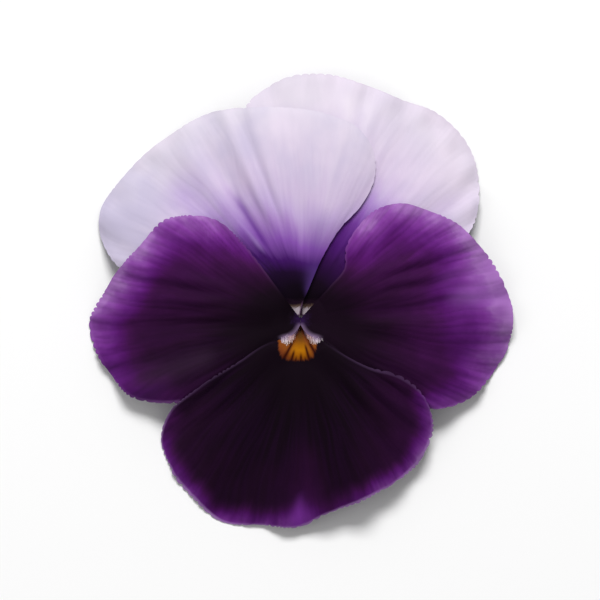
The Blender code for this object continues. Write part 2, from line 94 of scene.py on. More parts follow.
def makeLamp(name):
    lamp = bpy.data.lights.new(name, "AREA")
    lamp.shape = "RECTANGLE"
    lamp.size, lamp.size_y = (side * mm for side in studio[name]["size"])
    lamp.energy = studio[name]["power"]
    holder = newObject(name, lamp)
    holder.location = [value * mm for value in studio[name]["place"]]
    holder.rotation_euler = (-Vector(holder.location)).to_track_quat("-Z", "Y").to_euler()


def makeStudio():
    makeLamp("key")
    makeLamp("fill")
    world = bpy.data.worlds.new("studio")
    world.use_nodes = True
    sky = world.node_tree.nodes["Background"].inputs
    sky["Color"].default_value = (1, 1, 1, 1)
    sky["Strength"].default_value = studio["sky"]
    bpy.context.scene.world = world
    bpy.context.scene.view_settings.view_transform = "Standard"
    bpy.context.scene.view_settings.look = "None"
    bpy.ops.mesh.primitive_plane_add(size=studio["floorSize"])
    floor = bpy.context.object
    floor.name = "floor"
    paper = bpy.data.materials.new("white paper")
    paper.use_nodes = True
    for label, value in studio["paper"].items():
        paper.node_tree.nodes["Principled BSDF"].inputs[label].default_value = value
    floor.data.materials.append(paper)


# Curves, tables and noise

def smoothStep(low, high, value):
    share = np.clip((value - low) / (high - low), 0.0, 1.0)
    return share * share * (3.0 - 2.0 * share)


# Smooth curve through values of any dimension that stand at growing places
def readThrough(places, values, at):
    slopes = np.gradient(values, places, axis=0)
    span = np.clip(np.searchsorted(places, at, side="right") - 1, 0, len(places) - 2)
    width = places[span + 1] - places[span]
    t = (at - places[span]) / width
    if values.ndim > 1:
        t, width = t[:, None], width[:, None]
    return ((2 * t**3 - 3 * t**2 + 1) * values[span] + (t**3 - 2 * t**2 + t) * width * slopes[span]
            + (3 * t**2 - 2 * t**3) * values[span + 1] + (t**3 - t**2) * width * slopes[span + 1])


# Where each point stands along a line, from 0 to 1
def chordPlaces(points):
    steps = np.sqrt((np.diff(points, axis=0) ** 2).sum(axis=1))
    places = np.concatenate([[0.0], np.cumsum(steps)])
    return places / places[-1]


# Smooth curve through points, read at shares of its length
def curveThrough(points, at):
    points = np.asarray(points, dtype=float)
    return readThrough(chordPlaces(points), points, at)


# A column of a table of bearings, read all the way round
def roundTable(bearing, table, column):
    rows = np.array(table, dtype=float)
    turn = (360, 0, 0)
    rows = np.vstack([rows[-2:] - turn, rows, rows[:3] + turn])
    return readThrough(rows[:, 0], rows[:, column], bearing)


# Smooth noise along a line, from -1 to 1, one draw for each whole number
def ripple(seed, at):
    count = 512
    draws = np.random.default_rng(seed).uniform(-1, 1, count)
    whole = np.floor(at).astype(int)
    share = smoothStep(0.0, 1.0, at - whole)
    return draws[whole % count] * (1 - share) + draws[(whole + 1) % count] * share


# Distance to an outline (positive inside it when it is closed) and the place of the nearest point
def edgeReading(x, y, outline, closed=True):
    start = outline if closed else outline[:-1]
    end = np.roll(outline, -1, axis=0) if closed else outline[1:]
    run = end - start
    length = np.sqrt(np.maximum((run**2).sum(axis=1), 1e-12))
    fromX = x[:, None] - start[None, :, 0]
    fromY = y[:, None] - start[None, :, 1]
    along = np.clip((fromX * run[:, 0] + fromY * run[:, 1]) / length**2, 0.0, 1.0)
    gap = np.hypot(fromX - along * run[:, 0], fromY - along * run[:, 1])
    nearest = gap.argmin(axis=1)
    rows = np.arange(len(x))
    distance = gap[rows, nearest]
    before = np.concatenate([[0.0], np.cumsum(length)[:-1]])
    place = before[nearest] + along[rows, nearest] * length[nearest]
    if not closed:
        return distance, place
    above = start[None, :, 1] > y[:, None]
    crosses = above != (end[None, :, 1] > y[:, None])
    rise = np.where(np.abs(run[:, 1]) < 1e-9, 1e-9, run[:, 1])
    crossing = start[None, :, 0] + fromY * run[:, 0] / rise
    inside = (crosses & (x[:, None] < crossing)).sum(axis=1) % 2 == 1
    return np.where(inside, distance, -distance), place


# The drooping face that all the petals share: bearing, distance and height of its rim
face = {
    "centre": 10.2,
    "crown": 0.98,            # how far it bulges on the way out
    "droop": 2.4,             # the higher, the nearer to the rim it droops
    "lowest": 0.22,           # no petal's middle dips under this, over a soft bend
    "softness": 0.35,
    "rim": [
        (0, 32.6, 2.0), (12, 31.6, 2.2), (30, 33.0, 1.6), (52, 37.4, -0.6), (75, 38.0, 2.2),
        (100, 35.8, 2.6), (118, 35.2, 1.6), (135, 35.3, -0.6), (155, 33.5, 1.4),
        (172, 31.5, 1.0), (187, 32.2, 0.4), (202, 29.0, 2.8), (217, 26.6, 1.6),
        (232, 30.4, 1.0), (250, 33.2, -0.6), (270, 32.2, 1.8), (292, 30.0, 4.6),
        (306, 28.4, 3.8), (321, 26.4, 3.2), (335, 29.0, 2.2), (349, 32.2, 0.0),
    ],
    "layerStep": 0.9,         # height of a petal's middle over the petal that it lies on
    "layerFade": (-4.5, -0.3),  # distance to its edge over which that lift dies away
    "lowerFree": (3.6, 5.8),  # nearer the knot than this the lower petal lies on nothing
    "outlinePoints": 420,
}

petalMesh = {
    "linePoints": 3000,       # along an outline before it is spaced evenly
    "spacing": 0.23,
    "edgeSpacing": 0.15,
    "edgeGap": 0.6,           # share of the spacing that inner points keep clear of the edge
    "rimPoints": 300,
    "thickness": 0.34,
    "rimThickness": 0.3,      # share of the thickness that is left at the very edge
    "rimTaper": 1.2,
    "sharpAngle": 60.0,
}

pleating = {
    "narrowest": 1.6,         # half width of a pleat, however near the base
    "pleatsFrom": (4.0, 13.0),  # reach from the base over which the pleats rise
    "ruffleFrom": (10.0, 18.0),
    "ruffleHeight": 0.4,
    "ruffleDepth": 5.0,       # how far in from the edge the ruffle reaches
}

toothing = {
    "setIn": (7.0, 15.0),     # along the outline from the claw
    "wander": (1.4, 3.1),     # how many teeth the row slips forward and back, and over how many
    "middle": 0.75,           # of a scallop, which stays on the outline
    "depths": (0.75, 0.7, 1.7),  # usual share of the depth, change in it, and over how many teeth
    "waveLength": 4.3,        # of the longer waves, in teeth
}

claw = {
    "rows": 16,
    "seatHeight": 5.3,        # of the receptacle's rim
    "rise": 0.55,             # share of the height that it climbs straight up
    "foldDrop": 0.1,
    "footShare": 0.8,         # width at the seat against the width where the blade begins
}

# Each petal: outline in plan from one corner of its claw round to the other, its middle bearing, the
# point its pleats spread from, how it dips into the throat, its seat there, the petals under it, its
# broad pleats (bearing, half width in degrees, height), its ruffle, the teeth of its edge (spacing,
# depth, longer waves), the outline points where its free rim begins and ends, and its fine relief
petals = {
    "upper_right_petal": {
        "outline": [
            (0.15, 0.6), (0.1, 3.1), (-1.2, 8.9), (-4.7, 17.7), (-7.8, 26.2), (-8.9, 30.5),
            (-7.9, 33.6), (-4.7, 36.0), (-0.1, 37.6), (4.5, 37.8), (9.5, 36.3), (15.3, 34.2),
            (21.2, 31.6), (24.9, 28.0), (27.0, 23.9), (27.5, 18.8), (26.4, 14.2), (23.8, 10.8),
            (18.4, 8.0), (10.7, 5.9), (4.5, 3.9), (2.2, 2.2), (1.2, 0.9),
        ],
        "bearing": 65, "base": (1.5, 3.1),
        "dip": (2.7, 4.0), "fold": 0.6, "seat": (0.85, 1.53), "liesOn": [],
        "pleats": [(86, 3.5, 0.35), (79, 3.0, 0.35), (72, 3.0, 0.3), (60, 4.0, -0.25),
                   (45, 5.0, 0.25), (35, 3.5, -0.3), (24, 4.0, 0.25), (98, 4.0, -0.25)],
        "ruffle": (0.105, 20.0), "teeth": (1.4, 0.25, 0.26), "seed": 11,
        "relief": {"Pleat Width": 11.0, "Pleat Height": 0.25, "Vein Depth": 0.04, "Crinkle Height": 0.08},
    },
    "upper_left_petal": {
        "outline": [
            (-1.2, 0.9), (-2.4, 2.3), (-7.8, 2.9), (-15.5, 3.5), (-21.6, 4.6), (-25.8, 6.5),
            (-29.0, 8.9), (-30.9, 13.1), (-30.7, 16.6), (-28.6, 20.6), (-24.7, 25.3),
            (-20.1, 28.8), (-14.7, 31.6), (-8.4, 32.8), (-1.6, 32.8), (4.7, 31.6), (8.9, 29.6),
            (11.2, 25.9), (11.3, 21.6), (9.2, 17.4), (6.1, 14.0), (3.3, 9.5), (1.3, 4.9),
            (0.4, 2.8), (0.05, 1.5), (-0.1, 0.6),
        ],
        "bearing": 115, "base": (0.4, 2.6),
        "dip": (1.9, 3.0), "fold": 0.6, "seat": (-0.85, 1.53), "liesOn": ["upper_right_petal"],
        "pleats": [(122, 3.5, -0.55), (128, 3.5, 0.35), (137, 4.5, -0.3), (108, 4.0, -0.3),
                   (99, 3.5, 0.3), (90, 4.0, -0.25), (150, 5.0, 0.25), (76, 5.0, 0.25)],
        "ruffle": (0.09, 60.0), "teeth": (1.8, 0.14, 0.27), "seed": 12,
        "relief": {"Pleat Width": 11.0, "Pleat Height": 0.25, "Vein Depth": 0.04, "Crinkle Height": 0.06},
    },
    "left_side_petal": {
        "outline": [
            (-0.06, 0.3), (-1.6, 2.3), (-3.9, 5.4), (-6.5, 8.9), (-9.3, 12.3), (-13.2, 15.4),
            (-17.0, 16.2), (-20.9, 15.1), (-23.9, 12.3), (-27.0, 8.8), (-30.4, 4.3),
            (-32.4, -0.8), (-31.6, -4.2), (-29.5, -8.2), (-26.3, -11.6), (-21.6, -12.6),
            (-17.0, -12.2), (-12.7, -10.2), (-8.5, -7.1), (-4.6, -3.6), (-2.9, -2.9),
            (-1.6, -2.5), (-0.7, -1.8), (-0.06, -0.8),
        ],
        "bearing": 180, "base": (-0.5, 0.0),
        "dip": (0.5, 2.5), "fold": 0.9, "seat": (-1.75, -0.5), "liesOn": ["upper_left_petal"],
        "pleats": [(182, 3.5, -0.5), (175, 4.0, 0.3), (190, 4.0, 0.25), (208, 6.0, 0.35),
                   (198, 4.0, -0.25), (163, 4.0, -0.25), (152, 5.0, 0.25), (140, 4.0, -0.2)],
        "ruffle": (0.085, 10.0), "teeth": (1.1, 0.32, 0.18), "rimSpan": (5, 15), "seed": 13,
        "relief": {"Pleat Height": 0.22, "Vein Depth": 0.065, "Crinkle Height": 0.18},
    },
    "right_side_petal": {
        "outline": [
            (0.06, -0.8), (0.7, -1.8), (1.6, -2.5), (3.1, -3.0), (6.4, -5.5), (11.0, -9.9), (16.1, -12.6),
            (21.5, -13.7), (26.1, -12.0), (29.5, -8.2), (32.1, -3.9), (32.6, 0.8), (30.7, 6.8),
            (27.6, 11.2), (24.3, 14.5), (19.9, 16.8), (15.3, 17.9), (11.5, 16.9), (8.7, 14.2),
            (6.9, 10.8), (6.7, 8.0), (4.5, 5.2), (2.4, 2.9), (0.06, 0.3),
        ],
        "bearing": 0, "base": (0.5, 0.0),
        "dip": (0.5, 2.5), "fold": 0.9, "seat": (1.75, -0.5), "liesOn": ["upper_right_petal"],
        "pleats": [(5, 3.5, -0.5), (12, 4.0, 0.35), (-3, 4.0, 0.25), (-14, 4.5, -0.25),
                   (-24, 5.0, 0.25), (24, 4.0, -0.25), (34, 5.0, 0.3), (46, 4.0, -0.2)],
        "ruffle": (0.095, 40.0), "teeth": (1.2, 0.26, 0.16), "rimSpan": (7, 18), "seed": 14,
        "relief": {"Pleat Height": 0.22, "Vein Depth": 0.065, "Crinkle Height": 0.18},
    },
    "lower_petal": {
        "outline": [
            (-0.7, -1.0), (-1.4, -1.95), (-2.4, -2.45), (-3.25, -3.0), (-4.8, -3.45),
            (-9.3, -6.2), (-15.5, -10.2),
            (-20.4, -14.6), (-21.6, -18.5), (-20.1, -22.8), (-16.2, -27.6), (-12.1, -31.1),
            (-5.9, -31.7), (-0.5, -31.95), (3.8, -30.0), (9.5, -27.6), (14.7, -24.9),
            (18.7, -20.9), (20.4, -16.6), (19.0, -11.7), (15.6, -8.9), (10.4, -7.2),
            (5.2, -4.35), (3.2, -3.02), (2.4, -2.45), (1.4, -1.95), (0.7, -1.0),
        ],
        "bearing": 270, "base": (0.0, -1.5),
        "dip": (2.2, 3.5), "fold": 0.55, "seat": (0.0, -4.7),
        "liesOn": ["left_side_petal", "right_side_petal"],
        "pleats": [(226, 4.5, -0.25), (240, 5.0, 0.3), (253, 4.5, -0.25), (266, 5.0, 0.25),
                   (279, 4.5, -0.25), (292, 5.0, 0.3), (305, 4.5, -0.25), (318, 5.0, 0.25)],
        "ruffle": (0.08, 0.0), "teeth": (1.2, 0.36, 0.24), "rimSpan": (7, 19), "seed": 15,
        "relief": {"Pleat Height": 0.26, "Vein Depth": 0.08, "Crinkle Height": 0.2},
    },
}


def petalOutline(petal):
    return curveThrough(petal["outline"], np.linspace(0.0, 1.0, face["outlinePoints"]))


# Distance and bearing in degrees from a petal's base
def fromBase(petal, x, y):
    x, y = x - petal["base"][0], y - petal["base"][1]
    return np.hypot(x, y), np.degrees(np.arctan2(y, x))


def faceHeight(x, y):
    bearing = np.degrees(np.arctan2(y, x)) % 360
    reach = np.hypot(x, y) / roundTable(bearing, face["rim"], 1)
    drop = face["centre"] - roundTable(bearing, face["rim"], 2)
    return face["centre"] + 4 * face["crown"] * reach * (1 - reach) - drop * reach ** face["droop"]


# Broad pleats that spread from the petal's base, and the ruffle along its rim
def broadRelief(petal, x, y, edge):
    reach, bearing = fromBase(petal, x, y)
    narrowest = np.degrees(pleating["narrowest"] / np.maximum(reach, 1.0))
    relief = np.zeros_like(x)
    for place, halfWidth, height in petal["pleats"]:
        turn = (bearing - place + 180) % 360 - 180
        relief += height * np.exp(-(turn / np.maximum(halfWidth, narrowest)) ** 2)
    relief *= smoothStep(*pleating["pleatsFrom"], reach)
    waves, phase = petal["ruffle"]
    nearRim = 1 - smoothStep(0.0, pleating["ruffleDepth"], edge)
    nearRim *= smoothStep(*pleating["ruffleFrom"], reach)
    wave = np.sin(math.tau * waves * (bearing % 360) + math.radians(phase))
    return relief + pleating["ruffleHeight"] * nearRim * wave


# Height of the middle of a petal's thickness, over the petals that it lies on
def petalHeight(name, x, y):
    petal = petals[name]
    out = np.hypot(x, y)
    depth, width = petal["dip"]
    edge, _ = edgeReading(x, y, petalOutline(petal))
    height = faceHeight(x, y) - depth * np.exp(-(out / width) ** 2) + broadRelief(petal, x, y, edge)
    lowest, softness = face["lowest"], face["softness"]
    height = lowest + softness * np.log1p(np.exp((height - lowest) / softness))
    for under in petal["liesOn"]:
        edge, _ = edgeReading(x, y, petalOutline(petals[under]))
        lies = smoothStep(*face["layerFade"], edge)
        if name == "lower_petal":
            lies = lies * smoothStep(*face["lowerFree"], out)
        lift = np.maximum(petalHeight(under, x, y) + face["layerStep"] - height, 0.0)
        height = height + lies * lift
    return height


# Small teeth and longer waves that push a petal's outline in and out
def toothEdge(petal, line):
    _, place = edgeReading(line[:, 0], line[:, 1], petalOutline(petal))
    spacing, depth, wave = petal["teeth"]
    seed = petal["seed"]
    slip, slipLength = toothing["wander"]
    usual, change, changeLength = toothing["depths"]
    phase = place / spacing + slip * ripple(seed, place / (slipLength * spacing))
    scallop = np.sqrt(np.abs(np.sin(math.pi * phase))) - toothing["middle"]
    push = (depth * scallop * (usual + change * ripple(seed + 40, phase / changeLength))
            + wave * ripple(seed + 80, place / (toothing["waveLength"] * spacing)))
    push *= smoothStep(*toothing["setIn"], np.minimum(place, place.max() - place))
    run = np.gradient(line, axis=0)
    run /= np.hypot(run[:, 0], run[:, 1])[:, None]
    outward = np.column_stack([run[:, 1], -run[:, 0]])
    area = (line[:-1, 0] * line[1:, 1] - line[1:, 0] * line[:-1, 1]).sum()
    return line + outward * push[:, None] * np.sign(area)


# A petal's blade in plan: evenly spaced points along its outline and across its claw, a regular
# field of points inside, and the triangles between them; the first row leads on down the claw
def petalBlade(petal):
    spacing, edgeSpacing = petalMesh["spacing"], petalMesh["edgeSpacing"]
    line = curveThrough(petal["outline"], np.linspace(0, 1, petalMesh["linePoints"]))
    run = np.concatenate([[0.0], np.cumsum(np.hypot(*np.diff(line, axis=0).T))])
    places = np.linspace(0.0, run[-1], round(run[-1] / edgeSpacing) + 1)
    loop = toothEdge(petal, np.column_stack([np.interp(places, run, line[:, side]) for side in (0, 1)]))
    steps = max(4, round(np.hypot(*(loop[0] - loop[-1])) / edgeSpacing))
    across = loop[-1] + (loop[0] - loop[-1]) * np.linspace(0, 1, steps + 1)[1:-1, None]
    ring = np.vstack([loop, across])
    low, high = ring.min(axis=0), ring.max(axis=0)
    x, y = np.meshgrid(np.arange(low[0], high[0], spacing),
                       np.arange(low[1], high[1], spacing * math.sqrt(0.75)))
    x[1::2] += spacing / 2
    edge, _ = edgeReading(x.ravel(), y.ravel(), ring)
    inner = np.column_stack([x.ravel(), y.ravel()])[edge > petalMesh["edgeGap"] * spacing]
    plan = [Vector(point) for point in np.vstack([ring, inner]).tolist()]
    sides = [(i, (i + 1) % len(ring)) for i in range(len(ring))]
    points, _, faces, *_ = delaunay_2d_cdt(plan, sides, [], 1, 1e-6)
    firstRow = [0, *range(len(ring) - 1, len(loop) - 2, -1)]
    return np.array([point[:] for point in points]), faces, firstRow


# Rows down the claw, from its seat on the receptacle up to the fold where the blade begins
def clawRows(name, startRow):
    petal = petals[name]
    start = startRow.mean(axis=0)
    across = startRow[-1] - startRow[0]
    seat = np.array([*petal["seat"], claw["seatHeight"]])
    ahead = start[:2] - start[:2] / np.hypot(*start[:2]) * petal["fold"]
    fold = np.array([*ahead, petalHeight(name, ahead[:1], ahead[1:])[0] - claw["foldDrop"]])
    rise = seat + np.array([0.0, 0.0, claw["rise"] * (start[2] - seat[2])])
    sides = np.linspace(-0.5, 0.5, len(startRow))[:, None]
    rows = []
    for step in range(claw["rows"]):
        t = step / claw["rows"]
        middle = (1 - t)**3 * seat + 3 * t * (1 - t)**2 * rise + 3 * t**2 * (1 - t) * fold + t**3 * start
        rows.append(middle + across * (claw["footShare"] + (1 - claw["footShare"]) * t) * sides)
    return rows


def storeFloat(mesh, name, values):
    layer = mesh.attributes.new(name, "FLOAT", "POINT")
    layer.data.foreach_set("value", np.asarray(values, dtype=np.float32))


def readFloat(mesh, name):
    values = np.zeros(len(mesh.vertices), dtype=np.float32)
    mesh.attributes[name].data.foreach_get("value", values)
    return values


beard = {
    "sides": {"left_side_petal": "left_beard", "right_side_petal": "right_beard"},
    "seeds": {"left_side_petal": 71, "right_side_petal": 72},
    "edge": (0.25, 0.75),     # the hairs stand along the edge, up to here
    "from": (0.8, 1.3),       # distance from the knot
    "to": (3.9, 4.3),
    "top": (-1.4, -0.8),      # and below this height in the picture
    "shortest": 0.3,          # share of the full length, near the knot
    "full": (1.4, 2.9),
    "hairs": {"Density": 85.0, "Length": 1.15, "Slimness": 0.028, "Direction": (0.0, -1.0, 0.2),
              "Spread": 0.17, "Bend": 0.12, "Club": 0.35},
}


# The open sheet of a petal, with what its relief and its colour are drawn from, all in millimetres:
# reach from the base, ray (bearing from the base in degrees), edge and rim (distance to any edge and
# to the free rim), out (distance from the knot) and up (height over the knot in the picture); beard
# and hair say where the beard grows and the share of its full length that the hairs have there
def petalSheet(name):
    petal = petals[name]
    plan, faces, firstRow = petalBlade(petal)
    blade = np.column_stack([plan, petalHeight(name, plan[:, 0], plan[:, 1])])
    rows = clawRows(name, blade[firstRow])
    points = np.vstack([blade] + rows)
    width = len(firstRow)
    places = [[len(blade) + width * row + column for column in range(width)] for row in range(len(rows))]
    for near, far in zip(places, places[1:] + [firstRow]):
        faces += [(near[i], near[i + 1], far[i + 1], far[i]) for i in range(width - 1)]
    mesh = bpy.data.meshes.new(name + "_sheet")
    mesh.from_pydata(((points + knot) * mm).tolist(), [], faces)
    loose = bmesh.new()
    loose.from_mesh(mesh)
    bmesh.ops.recalc_face_normals(loose, faces=loose.faces)
    loose.to_mesh(mesh)
    loose.free()
    mesh.update()
    if sum(p.normal.z for p in mesh.polygons) < 0:
        mesh.flip_normals()
    x, y = points[:, 0], points[:, 1]
    edge, _ = edgeReading(x, y, petalOutline(petal))
    edge = np.maximum(edge, 0.0)
    share = chordPlaces(np.array(petal["outline"]))
    first, last = petal.get("rimSpan", (3, len(petal["outline"]) - 4))
    rimLine = curveThrough(petal["outline"], np.linspace(share[first], share[last], petalMesh["rimPoints"]))
    rim, _ = edgeReading(x, y, rimLine, closed=False)
    out = np.hypot(x, y)
    reach, bearing = fromBase(petal, x, y)
    hairy = ((1 - smoothStep(*beard["edge"], edge)) * smoothStep(*beard["from"], out)
             * (1 - smoothStep(*beard["to"], out)) * (1 - smoothStep(*beard["top"], y)))
    hairy[len(blade):] = 0.0
    layers = {
        "reach": reach, "ray": (bearing - petal["bearing"] + 180) % 360 - 180, "edge": edge, "rim": rim,
        "out": out, "up": y, "beard": hairy,
        "hair": beard["shortest"] + (1 - beard["shortest"]) * smoothStep(*beard["full"], out),
    }
    for label, values in layers.items():
        storeFloat(mesh, label, values)
    return newObject(name + "_sheet", mesh)


# Node trees

# An output in a node tree that takes part in sums, each of which becomes a node of the tree
class Wire:
    def __init__(self, wires, socket):
        self.wires = wires
        self.socket = socket

    def __add__(self, other):
        return self.wires.math("ADD", self, other)

    def __sub__(self, other):
        return self.wires.math("SUBTRACT", self, other)

    def __rsub__(self, other):
        return self.wires.math("SUBTRACT", other, self)

    def __mul__(self, other):
        return self.wires.math("MULTIPLY", self, other)

    def __truediv__(self, other):
        return self.wires.math("DIVIDE", self, other)

    def __pow__(self, other):
        return self.wires.math("POWER", self, other)

    def __abs__(self):
        return self.wires.math("ABSOLUTE", self)

    __radd__ = __add__
    __rmul__ = __mul__

    # Another output of the same node
    def also(self, name):
        return Wire(self.wires, self.socket.node.outputs[name])

    def atLeast(self, least):
        return self.wires.math("MAXIMUM", self, least)

    # 0 below low and 1 above high, smooth between them
    def ease(self, low, high):
        return self.wires.make("ShaderNodeMapRange", {"Value": self, "From Min": low, "From Max": high},
                               interpolation_type="SMOOTHSTEP")

    # 1 below low and 0 above high
    def fade(self, low, high):
        return 1.0 - self.ease(low, high)

    # 1 between lowEnd and highStart
    def band(self, low, lowEnd, highStart, high):
        return self.ease(low, lowEnd) * self.fade(highStart, high)

    # 1 at the centre, falling away on both sides
    def bell(self, centre, width):
        off = (self - centre) / width
        return self.wires.math("EXPONENT", off * off * -1.0)

    # 1 at 0, falling away over the length
    def fall(self, length):
        return self.wires.math("EXPONENT", self / length * -1.0)


# Short forms for the nodes of a shader tree or a Geometry Nodes tree
class Wiring:
    def __init__(self, tree):
        self.tree = tree

    def add(self, kind, **settings):
        node = self.tree.nodes.new(kind)
        for key, value in settings.items():
            setattr(node, key, value)
        return node

    def put(self, socket, value):
        if isinstance(value, Wire):
            self.tree.links.new(value.socket, socket)
        else:
            socket.default_value = value

    # A node with its inputs filled by name or place, and one of its outputs
    def make(self, kind, inputs=(), output=0, **settings):
        node = self.add(kind, **settings)
        for key, value in dict(inputs).items():
            self.put(node.inputs[key], value)
        return Wire(self, node.outputs[output])

    def math(self, operation, *values):
        return self.make("ShaderNodeMath", enumerate(values), operation=operation)

    def combine(self, x, y, z):
        return self.make("ShaderNodeCombineXYZ", {"X": x, "Y": y, "Z": z})

    def scaled(self, vector, size):
        return self.make("ShaderNodeVectorMath", {0: vector, "Scale": size}, operation="SCALE")

    def added(self, first, second):
        return self.make("ShaderNodeVectorMath", {0: first, 1: second}, operation="ADD")

    def noise(self, vector, detail=2.0, roughness=0.5, scale=1.0):
        return self.make("ShaderNodeTexNoise", {"Vector": vector, "Scale": scale, "Detail": detail,
                                                "Roughness": roughness})

    def named(self, name):
        return self.make("GeometryNodeInputNamedAttribute", {"Name": name}, data_type="FLOAT")

    def store(self, geometry, name, value):
        return self.make("GeometryNodeStoreNamedAttribute",
                         {"Geometry": geometry, "Name": name, "Value": value},
                         data_type="FLOAT", domain="POINT")

    # The geometry pushed out along its normals by a height in millimetres
    def pushed(self, geometry, height):
        offset = self.scaled(self.make("GeometryNodeInputNormal"), height * mm)
        return self.make("GeometryNodeSetPosition", {"Geometry": geometry, "Offset": offset})

    # Linear colours along a bar from 0 to 1
    def bar(self, value, stops, bend="LINEAR"):
        node = self.add("ShaderNodeValToRGB")
        bar = node.color_ramp
        bar.interpolation = bend
        bar.elements.remove(bar.elements[-1])
        for index, (place, colour) in enumerate(stops):
            element = bar.elements[0] if index == 0 else bar.elements.new(place)
            element.position = place
            element.color = colour
        self.put(node.inputs["Fac"], value)
        return Wire(self, node.outputs["Color"])

    def tones(self, value, stops):
        return self.bar(value, [(place, tint(colour)) for place, colour in stops])

    # A value that follows another through a few points
    def profile(self, value, points):
        places, levels = zip(*points)
        start, run = places[0], places[-1] - places[0]
        least, rise = min(levels), max(levels) - min(levels)
        stops = [((place - start) / run, (*[(level - least) / rise] * 3, 1.0)) for place, level in points]
        share = self.make("ShaderNodeMapRange", {"Value": value, "From Min": start, "From Max": places[-1]})
        return self.bar(share, stops, "CARDINAL") * rise + least


# sRGB from 0 to 255 as a linear colour
def tint(colour):
    return (*[((c / 255 + 0.055) / 1.055) ** 2.4 if c > 10 else c / 255 / 12.92 for c in colour], 1.0)


def newTree(name, sizes):
    tree = bpy.data.node_groups.new(name, "GeometryNodeTree")
    tree.interface.new_socket(name="Geometry", in_out="INPUT", socket_type="NodeSocketGeometry")
    kinds = {int: "NodeSocketInt", float: "NodeSocketFloat", tuple: "NodeSocketVector"}
    for label, value in sizes.items():
        socket = tree.interface.new_socket(name=label, in_out="INPUT", socket_type=kinds[type(value)])
        socket.default_value = value
    tree.interface.new_socket(name="Material", in_out="INPUT", socket_type="NodeSocketMaterial")
    tree.interface.new_socket(name="Geometry", in_out="OUTPUT", socket_type="NodeSocketGeometry")
    wires = Wiring(tree)
    given = {socket.name: Wire(wires, socket) for socket in wires.add("NodeGroupInput").outputs}
    return wires, given


# Every tree ends in Realize Instances and Set Material
def endTree(wires, geometry, material):
    real = wires.make("GeometryNodeRealizeInstances", {"Geometry": geometry})
    painted = wires.make("GeometryNodeSetMaterial", {"Geometry": real, "Material": material})
    wires.put(wires.add("NodeGroupOutput").inputs["Geometry"], painted)
    return wires.tree


def addTree(thing, tree, settings):
    modifier = thing.modifiers.new(tree.name, "NODES")
    modifier.node_group = tree
    for item in tree.interface.items_tree:
        if item.in_out == "INPUT" and item.name in settings:
            modifier[item.identifier] = settings[item.name]


# The evaluated object as a plain mesh under its final name
def settle(thing, name):
    bpy.context.view_layer.update()
    graph = bpy.context.evaluated_depsgraph_get()
    mesh = bpy.data.meshes.new_from_object(thing.evaluated_get(graph), preserve_all_data_layers=True,
                                           depsgraph=graph)
    mesh.name = name
    bpy.data.objects.remove(thing)
    return newObject(name, mesh)


# A wall on both sides of an open sheet, with only a share of its thickness where the weights are 0
def thicken(sheet, weights, thickness, rimShare):
    group = sheet.vertex_groups.new(name="body")
    for index, weight in enumerate(weights):
        group.add([index], float(weight), "REPLACE")
    wall = sheet.modifiers.new("thickness", "SOLIDIFY")
    wall.thickness = thickness * mm
    wall.offset = 0.0
    wall.vertex_group = "body"
    wall.thickness_vertex_group = rimShare


def joined(pieces, name):
    with bpy.context.temp_override(active_object=pieces[0], selected_editable_objects=pieces,
                                   selected_objects=pieces):
        bpy.ops.object.join()
    pieces[0].name = name
    pieces[0].data.name = name
    return pieces[0]


# Turns a closed mesh whose faces point inwards the right way out
def faceOutwards(mesh):
    mesh.calc_loop_triangles()
    points = np.empty(len(mesh.vertices) * 3)
    mesh.vertices.foreach_get("co", points)
    corners = np.empty(len(mesh.loop_triangles) * 3, dtype=np.int32)
    mesh.loop_triangles.foreach_get("vertices", corners)
    a, b, c = points.reshape(-1, 3)[corners].reshape(-1, 3, 3).transpose(1, 0, 2)
    if (a * np.cross(b, c)).sum() < 0:
        mesh.flip_normals()


reliefSizes = {
    "Pleat Width": 7.0,       # degrees
    "Pleat Height": 0.3,
    "Vein Width": 2.6,
    "Vein Depth": 0.1,
    "Crinkle Width": 2.4,
    "Crinkle Height": 0.2,
    "Crinkle Reach": 4.0,
    "Seed": 1.0,
}


# How much each kind of streak changes along 30 mm of the petal, where in the noise it is read and
# with how much detail, and the reach over which it sets in
reliefStreaks = {
    "Pleat": {"along": 2.6, "shift": 0.0, "detail": 1.0, "setIn": (5.0, 15.0)},
    "Vein": {"along": 1.6, "shift": 5.1, "detail": 1.0, "setIn": (6.0, 14.0)},
    "Crinkle": {"along": 4.0, "shift": 9.7, "detail": 2.0, "setIn": (7.0, 14.0)},
}


# Fine relief of a petal's face: soft pleats and sharp veins that run out from the base, and
# crinkles that die away inwards from the edge
def makeReliefTree():
    wires, given = newTree("petalRelief", reliefSizes)
    ray, reach, edge = wires.named("ray"), wires.named("reach"), wires.named("edge")
    seed = given["Seed"] * 17.3
    wander = wires.noise(wires.combine(reach * 0.07, ray * 0.04, seed), detail=1.0)
    bent = ray + wander * 9.0  # degrees

    def streak(kind):
        spec = reliefStreaks[kind]
        place = wires.combine(bent / given[kind + " Width"], reach / 30.0 * spec["along"],
                              seed + spec["shift"])
        return wires.noise(place, spec["detail"]) - 0.5, reach.ease(*spec["setIn"])

    (pleat, pleatShare), (line, veinShare), (crinkle, crinkleShare) = map(streak, reliefStreaks)
    pleat = pleat * given["Pleat Height"] * pleatShare
    vein = (1.0 - abs(line) * 5.0).atLeast(0.0) ** 1.6  # sharp along the middle of each line
    groove = vein * given["Vein Depth"] * veinShare
    crinkle = (crinkle * given["Crinkle Height"] * 2.0 * edge.fall(given["Crinkle Reach"])
               * crinkleShare)
    relief = pleat - groove + crinkle
    moved = wires.pushed(given["Geometry"], relief)
    return endTree(wires, wires.store(wires.store(moved, "relief", relief), "vein", vein), given["Material"])


